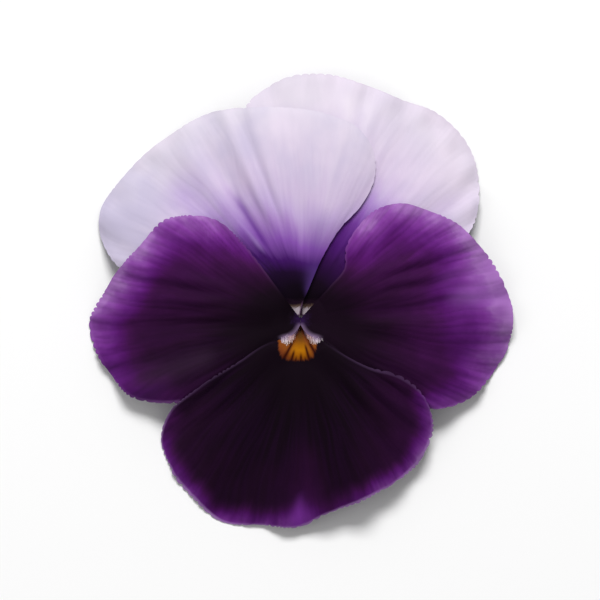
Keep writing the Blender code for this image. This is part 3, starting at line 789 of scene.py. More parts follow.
sweepSizes = {"Sides": 16, "Ribs": 0.0, "Rib Height": 0.0, "Unevenness": 0.0, "Lump Size": 2.0, "Seed": 1.0,
              "Caps": 1}


# A tube along a guide that carries its radius as "girth", with ribs along it and some unevenness
def makeSweepTree():
    wires, given = newTree("sweep", sweepSizes)
    guide = wires.make("GeometryNodeMeshToCurve", {"Mesh": given["Geometry"]})
    guide = wires.store(guide, "along", wires.make("GeometryNodeSplineParameter", output="Factor"))
    ring = wires.make("GeometryNodeCurvePrimitiveCircle", {"Resolution": given["Sides"], "Radius": 1.0})
    ring = wires.store(ring, "around", wires.make("GeometryNodeInputIndex") / given["Sides"])
    tube = wires.make("GeometryNodeCurveToMesh", {"Curve": guide, "Profile Curve": ring,
                                                  "Scale": wires.named("girth"), "Fill Caps": given["Caps"]})
    ribs = wires.math("COSINE", wires.named("around") * given["Ribs"] * math.tau)
    spot = wires.scaled(wires.make("GeometryNodeInputPosition"),
                        wires.math("DIVIDE", 1 / mm, given["Lump Size"]))
    lumps = wires.noise(wires.added(spot, wires.combine(given["Seed"], 0.0, 0.0))) - 0.5
    push = ribs * given["Rib Height"] + lumps * given["Unevenness"]
    slim = wires.named("girth").ease(0.0, 0.5 * mm)  # tips stay smooth
    return endTree(wires, wires.pushed(tube, push * slim), given["Material"])


leafSizes = {"Rows": 60, "Columns": 25, "Across": (0.0, 1.0, 0.0), "Cup": 0.2, "Midrib Depth": 0.12,
             "Vein Height": 0.05, "Edge Wave": 0.1, "Seed": 1.0}


# A leaf laid along a guide that carries its half width as "girth"
def makeLeafTree():
    wires, given = newTree("leaf", leafSizes)
    guide = wires.make("GeometryNodeMeshToCurve", {"Mesh": given["Geometry"]})
    grid = wires.make("GeometryNodeMeshGrid", {"Size X": 1.0, "Size Y": 2.0, "Vertices X": given["Rows"],
                                               "Vertices Y": given["Columns"]})
    spot = wires.make("ShaderNodeSeparateXYZ", {0: wires.make("GeometryNodeInputPosition")})
    grid = wires.store(grid, "along", spot + 0.5)
    grid = wires.store(grid, "side", spot.also("Y"))
    along, side = wires.named("along"), wires.named("side")
    half = wires.make("GeometryNodeSampleCurve",
                      {"Curves": guide, "Value": wires.named("girth"), "Factor": along},
                      data_type="FLOAT", mode="FACTOR")
    # Six or so waves along each edge, a groove along the middle and slanting veins beside it
    wave = wires.noise(wires.combine(along * 6.0, wires.math("SIGN", side), given["Seed"])) - 0.5
    width = half * side * (wave * given["Edge Wave"] + 1.0)
    bend = half * side * side * given["Cup"]
    midrib = side.bell(0.0, 0.12) * given["Midrib Depth"] * mm
    slant = abs(side) * 0.5 - along
    veins = (wires.math("COSINE", slant * 60.0) * given["Vein Height"] * mm
             * half.ease(0.6 * mm, 1.6 * mm))
    rise = wires.combine(0.0, 0.0, bend - midrib + veins)
    spot = wires.added(half.also("Position"), wires.added(wires.scaled(given["Across"], width), rise))
    laid = wires.make("GeometryNodeSetPosition", {"Geometry": grid, "Position": spot})
    return endTree(wires, laid, given["Material"])


hairSizes = {"Density": 60.0, "Length": 1.0, "Slimness": 0.045, "Direction": (0.0, -1.0, 0.3),
             "Spread": 0.35, "Bend": 0.25, "Club": 0.3, "Seed": 1}


# Hairs on a sheet, as thick as its "beard" says per square millimetre and as long as its "hair" says
def makeHairTree():
    wires, given = newTree("hairs", hairSizes)
    roots = wires.make("GeometryNodeDistributePointsOnFaces",
                       {"Mesh": given["Geometry"], "Seed": given["Seed"],
                        "Density": wires.named("beard") * given["Density"] * (1 / mm**2)},
                       distribute_method="RANDOM")
    # One hair: a bent line one unit long, thicker just before its tip
    line = wires.make("GeometryNodeCurvePrimitiveBezierSegment", {
        "Resolution": 5, "Start": (0.0, 0.0, 0.0), "Start Handle": (0.0, 0.0, 0.35),
        "End Handle": wires.combine(given["Bend"], 0.0, 0.7), "End": wires.combine(given["Bend"], 0.0, 1.0)})
    line = wires.store(line, "tip", wires.make("GeometryNodeSplineParameter", output="Factor"))
    tip = wires.named("tip")
    club = tip.bell(0.85, 0.25) * given["Club"] + 0.8 + tip.ease(0.9, 1.05) * -0.5
    ring = wires.make("GeometryNodeCurvePrimitiveCircle", {"Resolution": 5, "Radius": given["Slimness"]})
    hair = wires.make("GeometryNodeCurveToMesh", {"Curve": line, "Profile Curve": ring, "Scale": club,
                                                  "Fill Caps": True})
    # Each hair leans its own way and has its own length
    drift = wires.make("FunctionNodeRandomValue",
                       {"Min": (-1.0, -1.0, -1.0), "Max": (1.0, 1.0, 1.0), "Seed": given["Seed"] + 3},
                       data_type="FLOAT_VECTOR")
    way = wires.added(given["Direction"], wires.scaled(drift, given["Spread"]))
    turn = wires.make("FunctionNodeAlignRotationToVector", {"Vector": way}, axis="Z")
    size = wires.make("FunctionNodeRandomValue", {2: 0.7, 3: 1.15, "Seed": given["Seed"] + 5}, 1,
                      data_type="FLOAT")  # inputs 2 and 3 and output 1 are its plain numbers
    length = size * given["Length"] * wires.named("hair") * mm
    placed = wires.make("GeometryNodeInstanceOnPoints", {
        "Points": roots, "Instance": hair, "Rotation": turn,
        "Scale": wires.combine(length, length, length)})
    return endTree(wires, placed, given["Material"])


# Petal finishes

skin = {"cells": 9.0, "vein": 0.7, "depth": 0.03}  # cells in a millimetre, and the depth of the bump


# A finish under way: the nodes of its material and its colour so far
class Finish(Wiring):
    def __init__(self, name, roughness, specular, sheen=0.0, sheenTint=(1, 1, 1)):
        self.material = bpy.data.materials.new(name)
        self.material.use_nodes = True
        super().__init__(self.material.node_tree)
        self.coat = self.tree.nodes["Principled BSDF"].inputs
        looks = {"Roughness": roughness, "Specular IOR Level": specular, "Sheen Weight": sheen,
                 "Sheen Roughness": 0.4, "Sheen Tint": (*sheenTint, 1.0)}
        for label, value in looks.items():
            self.coat[label].default_value = value

    def read(self, name):
        return self.make("ShaderNodeAttribute", output="Fac", attribute_name=name)

    def spot(self):
        return self.make("ShaderNodeTexCoord", output="Object")

    def mix(self, share, first, second):
        first, second = (tint(side) if isinstance(side, tuple) else side for side in (first, second))
        # Inputs 6 and 7 and output 2 are this node's colours
        return self.make("ShaderNodeMix", {0: share, 6: first, 7: second}, 2, data_type="RGBA")

    # Another colour over the one so far, as strong as the mask says
    def lay(self, mask, colour):
        self.colour = self.mix(mask, self.colour, colour)

    # Cloudy patches, so many to a millimetre
    def clouds(self, perMillimetre, roughness):
        return self.noise(self.spot(), 3.0, roughness, perMillimetre / mm)

    # Streaks that run out from the petal's base and wander a little: width in degrees, change along
    # the petal, and strength from the darkest to the brightest
    def streaks(self, spec, seed, detail=2.0):
        width, along, strength = spec
        ray, reach = self.read("ray"), self.read("reach")
        wander = self.noise(self.combine(reach * 0.15, ray * 0.04, seed))
        place = self.combine((ray + wander * (0.5 * width)) / width, reach * along, seed)
        return (self.noise(place, detail, 0.55) - 0.5) * strength

    # Soft marks along single rays: ray, width in degrees, where it starts and ends, strength, colour
    def marks(self, rows):
        reach = self.read("reach")
        wander = self.noise(self.combine(reach * 0.25, 3.3, 7.7))
        ray = self.read("ray") + wander * 3.0 - 1.5  # they wander by up to 1.5 degrees
        for place, width, start, full, fade, end, strength, colour in rows:
            self.lay(ray.bell(place, width) * reach.band(start, full, fade, end) * strength, colour)

    # The finished material, with a petal's fine cells and veins as bump where it has some
    def done(self, bump=0.0):
        self.put(self.coat["Base Color"], self.colour)
        if bump:
            cells = self.make("ShaderNodeTexVoronoi", {"Vector": self.spot(), "Scale": skin["cells"] / mm})
            height = cells - self.read("vein") * skin["vein"]
            self.put(self.coat["Normal"], self.make("ShaderNodeBump", {
                "Strength": bump, "Distance": skin["depth"] * mm, "Height": height}))
        return self.material


# Looks of both upper petals. Tones stand at their reach in millimetres. Streaks have their width in
# degrees, their change along the petal and their strength; a band has the reaches where a look
# begins, is full, starts to fade and has gone.
upperLooks = {
    "reachEnd": 34.0,
    "tongues": (11.0, 0.05, 6.0), "fineTongues": (4.0, 0.09, 2.5),
    "tongueBand": (3.0, 12.0, 15.0, 30.0),
    "forwardBand": (1.0, 15.0, 20.0, 30.0),
    "coolSideFrom": (16.0, 25.0), "coolSide": 0.8,
    "clouds": (0.11, 0.5), "patchStreaks": (9.0, 0.1, 0.3), "patchFull": 24.0,
    "coolPatch": (0.48, 0.72), "palePatch": (0.28, 0.54), "palePatches": 0.4,
    "paleStreaks": (6.0, 0.06, 1.2), "paleFull": 26.0,
    "coolStreaks": (8.0, 0.12, 1.5), "coolBand": (20.0, 24.0, 32.0),
    "footStreaks": (14.0, 0.3, 0.9),
    "pale": (224, 210, 226),
    "cool": (184, 176, 202),
    "vein": (110, 66, 146),
    "veinBand": (5.0, 9.0, 18.0, 28.0), "veinStrength": 0.08,
    # The claw is cream, with a tan and a plum line over it, laid from the plum down: colour, and
    # where it ends upwards
    "foot": [((36, 18, 36), 2.7, 3.6), ((112, 88, 76), 2.1, 2.75), ((226, 210, 222), 1.75, 2.25)],
    # Painted shade: a dark line along the claws' edges near the knot, for the shaded gap between the petals
    "shadeLine": (104, 74, 106), "shadeLineEdge": (0.05, 0.3), "shadeLineOut": (2.2, 3.2),
}

# What differs: how far in millimetres the tones are set forward by ray, where paler and cooler looks
# begin, and the marks on single rays
upperFaces = {
    "upper_left_petal": {
        "seed": 21.0,
        "tones": [(0, (16, 7, 16)), (3, (18, 7, 22)), (5, (28, 8, 40)), (7, (60, 18, 92)),
                  (10, (126, 76, 162)), (13, (160, 126, 185)), (16, (183, 160, 202)), (19, (195, 177, 206)),
                  (22, (198, 183, 208)), (26, (201, 189, 209)), (31, (209, 202, 215))],
        "setForward": [(-56, 0.6), (-40, 3.3), (-26, 2.7), (-15, 1.6), (-5, -0.3), (5, -2.7), (15, -4.1),
                       (30, -6.0)],
        "paleFrom": 12.0,
        "coolRays": (14.0, 42.0), "coolPatches": 0.5,
        "marks": [(7.5, 2.2, 8, 12, 17, 22, 0.6, (88, 36, 132)),
                  (12.5, 1.8, 9, 12, 15, 19, 0.3, (176, 150, 204)),
                  (12.0, 14.0, 20, 25, 30, 34, 0.3, (178, 168, 196)),
                  (-38.0, 8.0, 6, 9, 12, 16, 0.25, (80, 46, 124)),
                  (-47.0, 16.0, 0.6, 2.5, 5, 8, 0.6, (88, 56, 130)),
                  # The violet mark along ray 22 is painted shade near the left side petal's upper edge
                  (22.0, 8.0, 13, 18, 24, 29, 0.5, (160, 132, 194))],
    },
    "upper_right_petal": {
        "seed": 33.0,
        "tones": [(0, (16, 7, 16)), (3, (22, 8, 26)), (5, (36, 9, 50)), (7, (48, 12, 68)),
                  (10, (70, 20, 102)), (12, (86, 34, 120)), (14, (108, 54, 144)), (16, (138, 92, 172)),
                  (18, (168, 136, 196)), (20, (190, 167, 208)), (22, (201, 183, 212)),
                  (26, (206, 192, 214)), (31, (213, 203, 218))],
        "setForward": [(-56, 1.2), (-30, 1.0), (-10, 0.3), (20, 0.0)],
        "paleFrom": 17.0,
        "coolRays": (-20.0, -50.0), "coolPatches": 0.15,
        # The first three pale marks are painted highlights on the ridges near the top rim
        "marks": [(14.0, 1.8, 20, 24, 30, 34, 0.4, (232, 222, 232)),
                  (8.0, 1.5, 20, 24, 30, 34, 0.35, (230, 220, 232)),
                  (1.0, 1.6, 18, 21, 26, 31, 0.3, (228, 216, 230)),
                  (-30.0, 3.0, 14, 18, 24, 30, 0.2, (172, 138, 196)),
                  (30.0, 11.0, 25, 30, 36, 40, 0.45, (198, 192, 202))],
    },
}


def upperFinish(name):
    both, spec = upperLooks, upperFaces[name]
    seed, paleFrom = spec["seed"], spec["paleFrom"]
    finish = Finish(name.split("_petal")[0] + "Face", 0.65, 0.04, 0.02, (0.95, 0.9, 1.0))
    ray, reach, streaks = finish.read("ray"), finish.read("reach"), finish.streaks
    shift = streaks(both["tongues"], seed) + streaks(both["fineTongues"], seed + 3.7, 3.0)
    tone = (reach + shift * reach.band(*both["tongueBand"])
            + finish.profile(ray, spec["setForward"]) * reach.band(*both["forwardBand"]))
    end = both["reachEnd"]
    finish.colour = finish.tones(tone / end, [(at / end, colour) for at, colour in spec["tones"]])
    coolSide = ray.ease(*spec["coolRays"]) * reach.ease(*both["coolSideFrom"])
    finish.lay(coolSide * both["coolSide"], both["cool"])
    patch = finish.clouds(*both["clouds"]) + streaks(both["patchStreaks"], seed + 30.0)
    blade = reach.ease(paleFrom, both["patchFull"])
    finish.lay(patch.ease(*both["coolPatch"]) * blade * spec["coolPatches"], both["cool"])
    finish.lay(patch.fade(*both["palePatch"]) * blade * both["palePatches"], both["pale"])
    finish.marks(spec["marks"])
    pale = streaks(both["paleStreaks"], seed + 8.0).atLeast(0.0)
    finish.lay(pale * reach.ease(paleFrom, both["paleFull"]), both["pale"])
    cool = streaks(both["coolStreaks"], seed + 15.0).atLeast(0.0)
    finish.lay(cool * reach.band(paleFrom, *both["coolBand"]), both["cool"])
    finish.lay(finish.read("vein") * reach.band(*both["veinBand"]) * both["veinStrength"], both["vein"])
    foot = finish.read("up") + streaks(both["footStreaks"], seed + 5.0)
    for colour, low, high in both["foot"]:
        finish.lay(foot.fade(low, high), colour)
    # Painted shade of the gap between the petals, along the claws' edges near the knot
    shadeLine = finish.read("edge").fade(*both["shadeLineEdge"]) * finish.read("out").fade(*both["shadeLineOut"])
    finish.lay(shadeLine, both["shadeLine"])
    return finish.done(0.12)


# Dark petals: tone 0 in the throat and 1 at the rim
darkTones = [(0.0, (14, 7, 13)), (0.06, (22, 9, 22)), (0.12, (34, 11, 35)), (0.2, (47, 14, 51)),
             (0.3, (63, 18, 71)), (0.42, (81, 22, 99)), (0.55, (98, 34, 121)), (0.72, (120, 54, 143)),
             (0.86, (136, 76, 159)), (1.0, (160, 110, 180))]

# The tone of a dark petal grows with the share of the way from its base to its rim: over its blade
# and again close to its rim (from, to), each by an amount that changes with the ray
sideFaces = {
    "left_side_petal": {
        "seed": 41.0, "least": 0.02,
        "blade": (0.15, 1.0),
        "bladeRays": [(-60, 0.8), (-45, 0.5), (-30, 0.37), (-18, 0.3), (0, 0.27), (20, 0.15), (38, 0.2)],
        "rim": (0.75, 1.03),
        "rimRays": [(-60, 0.1), (-45, 0.5), (-30, 0.54), (-16, 0.86), (-2, 0.7), (8, 0.45), (22, 0.32),
                    (38, 0.15)],
        "marks": [(6.0, 2.2, 10, 15, 22, 26, 0.25, (22, 8, 24)),
                  # The grey mark along ray 22 is a painted sheen on the velvet
                  (22.0, 7.0, 12, 16, 24, 30, 0.3, (58, 42, 60))],
    },
    "right_side_petal": {
        "seed": 61.0, "least": 0.06,
        "blade": (0.3, 1.0),
        "bladeRays": [(-38, 0.12), (-20, 0.26), (-7, 0.48), (6, 0.62), (18, 0.47), (32, 0.44), (46, 0.55),
                      (58, 0.74)],
        "rim": (0.77, 1.03),
        "rimRays": [(-38, 0.6), (-18, 0.48), (4, 0.5), (18, 0.64), (32, 0.42), (46, 0.4), (58, 0.1)],
        "marks": [(9.0, 2.2, 12, 16, 20, 24, 0.25, (40, 12, 44)),
                  (17.0, 2.5, 20, 24, 29, 33, 0.2, (142, 76, 168)),
                  (8.5, 3.4, 21, 27, 31, 34, 0.5, (160, 104, 186)),
                  (2.0, 2.6, 25, 28, 30, 32, 0.4, (104, 34, 126))],
    },
}

# Looks of all three dark petals, by the same share of the way out or in millimetres
darkLooks = {
    "tongues": (9.0, 0.05, 0.12), "fineTongues": (3.0, 0.1, 0.06),
    "clouds": (0.2, 0.6), "patches": 0.6, "patchStreaks": (5.0, 0.12, 0.5),
    "vein": (42, 12, 50), "veinBand": (0.3, 0.6, 0.95, 1.05), "veinStrength": 0.3,
    "knot": (42, 20, 62), "knotOut": (0.3, 2.4),
    # The painted highlight, a bright line along the edge: its width, where it grows strong upwards, least
    # share, start
    "line": (0.05, 0.45), "highlightUp": (-18.0, -10.0), "highlightLeast": 0.16, "highlightOut": (3.5, 14.0),
    # Lilac arms: their width, how far they reach from the knot and up, and their strength there
    "arm": (136, 112, 146), "armEdge": (0.0, 0.85), "armOut": (3.3, 4.6), "armUp": (-0.9, -0.2),
    "armStrong": (2.0, 3.4), "armStrength": (0.5, 0.4),
}


# A dark petal's colour, with tongues, streaks, soft patches and veins, whose dark near the rim is partly
# painted shade of wrinkles
def layDark(finish, spec):
    both, seed, streaks = darkLooks, spec["seed"], finish.streaks
    reach, ray = finish.read("reach"), finish.read("ray")
    share = (reach / (reach + finish.read("rim")) + streaks(both["tongues"], seed)
             + streaks(both["fineTongues"], seed + 4.0, 3.0))
    tone = (share.ease(*spec["blade"]) * finish.profile(ray, spec["bladeRays"])
            + share.ease(*spec["rim"]) * finish.profile(ray, spec["rimRays"]) + spec["least"])
    vary = ((finish.clouds(*both["clouds"]) - 0.5) * both["patches"]
            + streaks(both["patchStreaks"], seed + 11.0, 3.0) + 1.0)
    finish.colour = finish.tones(tone * vary, darkTones)
    # Dark lines in the relief's grooves toward the rim: partly the veins' colour, partly painted shade of the
    # wrinkles there
    finish.lay(finish.read("vein") * share.band(*both["veinBand"]) * both["veinStrength"], both["vein"])


# The violet of the knot, a painted highlight as a thin bright line along a dark petal's edge, and the lilac
# arms
def layEdgeHighlightKnotAndArms(finish, strength, colour):
    both = darkLooks
    edge, out, up = finish.read("edge"), finish.read("out"), finish.read("up")
    finish.lay((out + finish.read("vein") * 0.8).fade(*both["knotOut"]), both["knot"])
    least = both["highlightLeast"]
    # Painted highlight: the thin edge made brighter, as if it caught the light
    line = edge.fade(*both["line"]) * strength * (up.fade(*both["highlightUp"]) * (1 - least) + least)
    finish.lay(line * out.ease(*both["highlightOut"]), colour)
    arm = edge.fade(*both["armEdge"]) * out.fade(*both["armOut"]) * up.fade(*both["armUp"])
    least, more = both["armStrength"]
    finish.lay(arm * (out.ease(*both["armStrong"]) * more + least), both["arm"])


def sideFinish(name):
    finish = Finish(name.split("_petal")[0] + "Face", 0.7, 0.03)
    layDark(finish, sideFaces[name])
    finish.marks(sideFaces[name]["marks"])
    # Painted highlight in lilac along the side petal's edges
    layEdgeHighlightKnotAndArms(finish, 0.65, (164, 118, 182))
    return finish.done(0.15)


lowerFace = {
    "seed": 81.0, "least": 0.03,
    "blade": (0.4, 1.0),
    "bladeRays": [(-60, 0.1), (-40, 0.11), (-20, 0.09), (-6, 0.14), (2, 0.24), (12, 0.06), (26, 0.1),
                  (42, 0.18), (60, 0.17)],
    "rim": (0.865, 1.04),
    "rimRays": [(-60, 0.3), (-40, 0.56), (-20, 0.68), (-6, 0.72), (2, 0.42), (12, 0.3), (26, 0.74),
                (42, 0.9), (60, 0.5)],
    # The wedge at the notch is a painted highlight on the fold in the middle of the rim
    "notchFoldHighlight": {"colour": (128, 52, 160), "ray": -0.5, "width": (1.2, 2.6), "depth": 2.6,
              "rim": (1.5, 5.5), "from": (16.0, 20.0), "strength": 0.95},
    # The eye's middle and half width across, how far down it reaches, and its colours on the way, darkest in
    # the throat with painted shade
    "eyeMiddle": -0.48, "eyeHalf": 3.0, "eyeDown": 4.6, "eyeEdge": (0.94, 1.06),
    "eyeRagged": (5.0, 0.2, 0.26),
    "eyeTones": [(0.0, (62, 38, 22)), (0.25, (90, 55, 18)), (0.4, (118, 68, 14)), (0.55, (146, 88, 8)),
                 (0.7, (160, 99, 3)), (0.86, (150, 86, 6)), (1.0, (112, 56, 16))],
    "eyeSides": {"colour": (112, 52, 28), "middle": -2.0, "rays": (12.0, 34.0), "strength": 0.7},
    # Dark lines between the fingers of the eye: ray, where each starts, half width in degrees
    "eyeRays": [(-31, 2.4, 4.0), (-17, 3.4, 3.2), (-9, 4.2, 1.8), (1, 3.7, 2.8), (9.5, 4.3, 1.6),
                (17, 2.6, 3.8), (33, 2.4, 4.6)],
    "eyeDark": (52, 12, 5),
}


def lowerFinish(name):
    spec = lowerFace
    finish = Finish("lowerFace", 0.7, 0.03)
    rim, reach, ray = finish.read("rim"), finish.read("reach"), finish.read("ray")
    layDark(finish, spec)
    notchFoldHighlight = spec["notchFoldHighlight"]
    least, more = notchFoldHighlight["width"]
    # Painted highlight on the fold at the notch in the middle of the rim
    paintedFoldHighlight = (rim.fade(*notchFoldHighlight["rim"]) * reach.ease(*notchFoldHighlight["from"])
             * ray.bell(notchFoldHighlight["ray"], rim.fall(notchFoldHighlight["depth"]) * more + least))
    finish.lay(paintedFoldHighlight * notchFoldHighlight["strength"], notchFoldHighlight["colour"])
    # Painted highlight in lilac along the lower petal's edges
    layEdgeHighlightKnotAndArms(finish, 0.85, (150, 112, 168))
    # The eye's size grows from 0 in its middle to 1 at its ragged end
    across = reach * finish.math("SINE", ray * (math.pi / 180))
    wide = (across - spec["eyeMiddle"]) / spec["eyeHalf"]
    low = (petals[name]["base"][1] - finish.read("up")) / spec["eyeDown"]
    size = (abs(wide) ** 4.0 + abs(low) ** 4.0) ** 0.25
    size = size + finish.streaks(spec["eyeRagged"], spec["seed"] + 9.0, 3.0)
    # Darker where the eye runs down into the throat: painted shade
    eye = finish.tones(reach / spec["eyeDown"], spec["eyeTones"])
    sides = spec["eyeSides"]
    aside = abs(ray - sides["middle"]).ease(*sides["rays"])
    eye = finish.mix(aside * sides["strength"], eye, sides["colour"])
    dark = sum(ray.bell(place, width) * reach.ease(start - 0.5, start + 0.5)
               for place, start, width in spec["eyeRays"])
    eye = finish.mix(finish.math("MINIMUM", dark, 1.0), eye, spec["eyeDark"])
    finish.lay(size.fade(*spec["eyeEdge"]), eye)
    return finish.done(0.15)


# Backs of the petals by slot: tones from the base out to the rim, and the colour of the veins
backTones = {
    "upper_petal": ([(0.0, (150, 160, 116)), (0.14, (136, 118, 150)), (0.4, (164, 144, 188)),
                     (1.0, (202, 190, 214))], (120, 92, 150)),
    "side_petal": ([(0.0, (120, 138, 92)), (0.15, (100, 78, 112)), (0.4, (98, 58, 128)),
                    (1.0, (142, 104, 168))], (66, 34, 94)),
    "lower_petal": ([(0.0, (116, 130, 92)), (0.15, (92, 66, 104)), (0.4, (76, 42, 98)),
                     (1.0, (120, 78, 146))], (52, 26, 72)),
}


def backFinish(slotName):
    tones, veinColour = backTones[slotName]
    finish = Finish(slotName.split("_petal")[0] + "Back", 0.6, 0.1, 0.04, (0.9, 0.85, 1.0))
    finish.colour = finish.tones(finish.read("reach") / upperLooks["reachEnd"], tones)
    finish.lay(finish.read("vein") * 0.35, veinColour)
    return finish.done(0.15)


# White hairs, violet at their roots, warmer in front of the knot and dark where they are short
def beardFinish():
    finish = Finish("beardHair", 0.45, 0.3)
    finish.colour = finish.tones(finish.read("tip"), [(0.0, (116, 90, 126)), (0.5, (200, 178, 200)),
                                                      (1.0, (250, 240, 234))])
    across = finish.make("ShaderNodeSeparateXYZ", {0: finish.spot()}) * (1 / mm) - knot[0]
    finish.lay(abs(across).fade(1.3, 2.3) * 0.55, (188, 132, 116))
    finish.lay(finish.read("hair").fade(0.3, 0.85), (110, 82, 118))
    return finish.done()


# Pieces

def finishPiece(piece, nodeName):
    for corner in piece.data.vertices:
        corner.co.z = max(corner.co.z, 0.01 * mm)  # nothing dips under the surface it lies on
    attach(piece, "root")
    if nodeName:
        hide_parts(nodeName)
    print(piece.name, "triangles", sum(len(p.vertices) - 2 for p in piece.data.polygons))


# A side petal's tuft of hairs, on the same relief as the petal
def makeBeard(name, sheet, settings, trees, hairFinish):
    under = newObject("beard_guide", sheet.data.copy())
    addTree(under, trees["relief"], settings)
    under = settle(under, "beard_guide")
    addTree(under, trees["hair"], {**beard["hairs"], "Seed": beard["seeds"][name], "Material": hairFinish})
    tuft = settle(under, beard["sides"][name])
    tuft.data.shade_smooth()
    finishPiece(tuft, None)


# A petal as a closed piece: relief on its open sheet, then its thickness, thin at the edge
def makePetal(name, trees, front, back, hairFinish):
    petal = petals[name]
    sheet = petalSheet(name)
    faceCount = len(sheet.data.polygons)
    settings = {**reliefSizes, **petal["relief"], "Seed": float(petal["seed"]), "Material": front}
    addTree(sheet, trees["relief"], settings)
    if name in beard["sides"]:
        makeBeard(name, sheet, settings, trees, hairFinish)
    weights = smoothStep(0.0, petalMesh["rimTaper"], readFloat(sheet.data, "edge"))
    thicken(sheet, weights, petalMesh["thickness"], petalMesh["rimThickness"])
    piece = settle(sheet, name + "_bloom")
    mesh = piece.data
    mesh.materials.clear()
    mesh.materials.append(front)
    mesh.materials.append(back)
    slots = np.zeros(len(mesh.polygons), dtype=np.int32)
    slots[faceCount:2 * faceCount] = 1
    mesh.polygons.foreach_set("material_index", slots)
    mesh.shade_smooth()
    mesh.set_sharp_from_angle(angle=math.radians(petalMesh["sharpAngle"]))
    return piece


# Guides: points in millimetres from the knot's foot, with a radius or half width at each
def guideLine(name, points, girths):
    placed = np.asarray(points, dtype=float) + knot
    mesh = bpy.data.meshes.new(name)
    mesh.from_pydata((placed * mm).tolist(), [(i, i + 1) for i in range(len(placed) - 1)], [])
    storeFloat(mesh, "girth", np.asarray(girths) * mm)
    return newObject(name, mesh)


# Points straight up the middle of the throat
def upright(heights):
    return [(0, 0, height) for height in heights]


# A closed tube along a smooth guide through the points
def sweep(name, spec, trees, material):
    table = curveThrough(np.column_stack([spec["path"], spec["radii"]]), np.linspace(0, 1, spec["rows"]))
    thing = guideLine(name, table[:, :3], np.maximum(table[:, 3], 0.01))
    addTree(thing, trees["sweep"], {**sweepSizes, **spec["sweep"], "Material": material})
    piece = settle(thing, name)
    faceOutwards(piece.data)
    piece.data.shade_smooth()
    return piece


spur = {
    "path": [(0, -3.6, 5.35), (0, -3.9, 4.3), (0, -4.7, 3.0), (0, -5.8, 1.75), (0, -7.0, 1.1),
             (0, -8.1, 1.0), (0, -8.75, 1.1), (0, -8.95, 1.15)],
    "radii": [1.05, 1.08, 1.16, 1.26, 1.3, 1.18, 0.62, 0.02],
    "rows": 60,
    "wall": 0.3,
    "sweep": {"Sides": 40, "Ribs": 5.0, "Rib Height": 0.03, "Unevenness": 0.12, "Lump Size": 1.4, "Caps": 0},
}


# 1 on the ribs that run along a tube
def ribLines(finish, count):
    return finish.math("COSINE", finish.read("around") * (count * math.tau))


def spurFinish():
    finish = Finish("spurSkin", 0.5, 0.25)
    finish.colour = finish.tones(finish.read("along"), [
        (0.0, (176, 178, 132)), (0.3, (160, 142, 152)), (0.75, (116, 74, 136)), (1.0, (86, 44, 104))])
    finish.lay(ribLines(finish, 5).bell(1.0, 0.12) * 0.35, (78, 52, 96))
    return finish.done()


def makeSpur(trees, material):
    horn = sweep("spur_outside", spur, trees, material)
    wall = horn.modifiers.new("wall", "SOLIDIFY")
    wall.thickness = spur["wall"] * mm
    wall.offset = -1.0
    horn = settle(horn, "spur_horn")
    horn.data.shade_smooth()
    return horn


receptacle = {
    "path": upright([2.75, 3.2, 3.75, 4.2, 4.42, 4.6, 4.88, 4.97, 5.0]),
    "radii": [0.7, 1.05, 1.38, 1.46, 1.88, 2.06, 2.08, 1.95, 1.7],
    "rows": 44,
    "sweep": {"Sides": 60, "Ribs": 5.0, "Rib Height": 0.05, "Unevenness": 0.06, "Lump Size": 1.0},
}

stalk = {
    "path": [(0, 0, 3.9), (0, 0.02, 3.3), (-0.3, 0.4, 2.55), (-1.2, 1.9, 1.42), (-2.6, 4.4, 0.9),
             (-4.2, 7.4, 0.84), (-5.55, 10.45, 0.88), (-5.58, 10.52, 0.88)],
    "radii": [0.9, 0.86, 0.82, 0.8, 0.8, 0.8, 0.8, 0.7],
    "rows": 90,
    "sweep": {"Sides": 36, "Ribs": 6.0, "Rib Height": 0.035, "Unevenness": 0.05, "Lump Size": 1.2},
}


def greenFinish(name, light, dark, roughness=0.5):
    finish = Finish(name, roughness, 0.3)
    finish.colour = finish.mix(finish.clouds(0.6, 0.5).ease(0.3, 0.7), dark, light)
    return finish


def stalkFinish():
    finish = greenFinish("stalkGreen", (128, 150, 74), (84, 112, 46))
    finish.lay(ribLines(finish, 6).ease(-0.2, 0.9) * 0.3, (150, 168, 96))
    finish.lay(finish.read("along").ease(0.992, 0.999), (196, 206, 150))  # the cut end
    return finish.done()


def makeStalk(trees, material):
    cup = sweep("cup", receptacle, trees, material)
    return joined([cup, sweep("stem", stalk, trees, material)], "receptacle_and_stalk_grown")


sepals = {
    "bearings": {"sepal_top": 90, "sepal_left": 162, "sepal_right": 18, "sepal_lower_left": 226,
                 "sepal_lower_right": 314},
    # Distance from the middle and height, from the tip of the flap past the foot to the sepal's tip
    "path": [(2.35, 2.75), (2.08, 3.3), (2.1, 3.85), (2.7, 4.15), (5.0, 5.2), (9.0, 7.0), (12.8, 7.9),
             (15.9, 7.9)],
    "rows": 56,
    "footShare": 0.2,         # share of the length where the flap ends and the blade begins
    "footHalf": 0.55,         # half widths
    "flapHalf": 0.3,
    "bladeHalf": 2.2,
    "tipHalf": 0.12,
    "thickness": 0.36,
    "edgeThickness": 0.35,    # share of the thickness that is left at the edge
    "sizes": {"Rows": 70, "Columns": 25, "Cup": 0.14, "Midrib Depth": 0.1, "Vein Height": 0.02,
              "Edge Wave": 0.1},
}


def sepalFinish():
    finish = greenFinish("sepalGreen", (112, 142, 60), (74, 104, 40))
    side = finish.read("side")
    finish.lay(side.bell(0.0, 0.1) * 0.5, (156, 172, 104))  # rib
    finish.lay(abs(side).ease(0.78, 1.0) * 0.5, (168, 184, 130))  # margin
    finish.lay(finish.read("along").ease(0.75, 1.0) * 0.4, (92, 60, 84))  # flushed tip
    return finish.done()


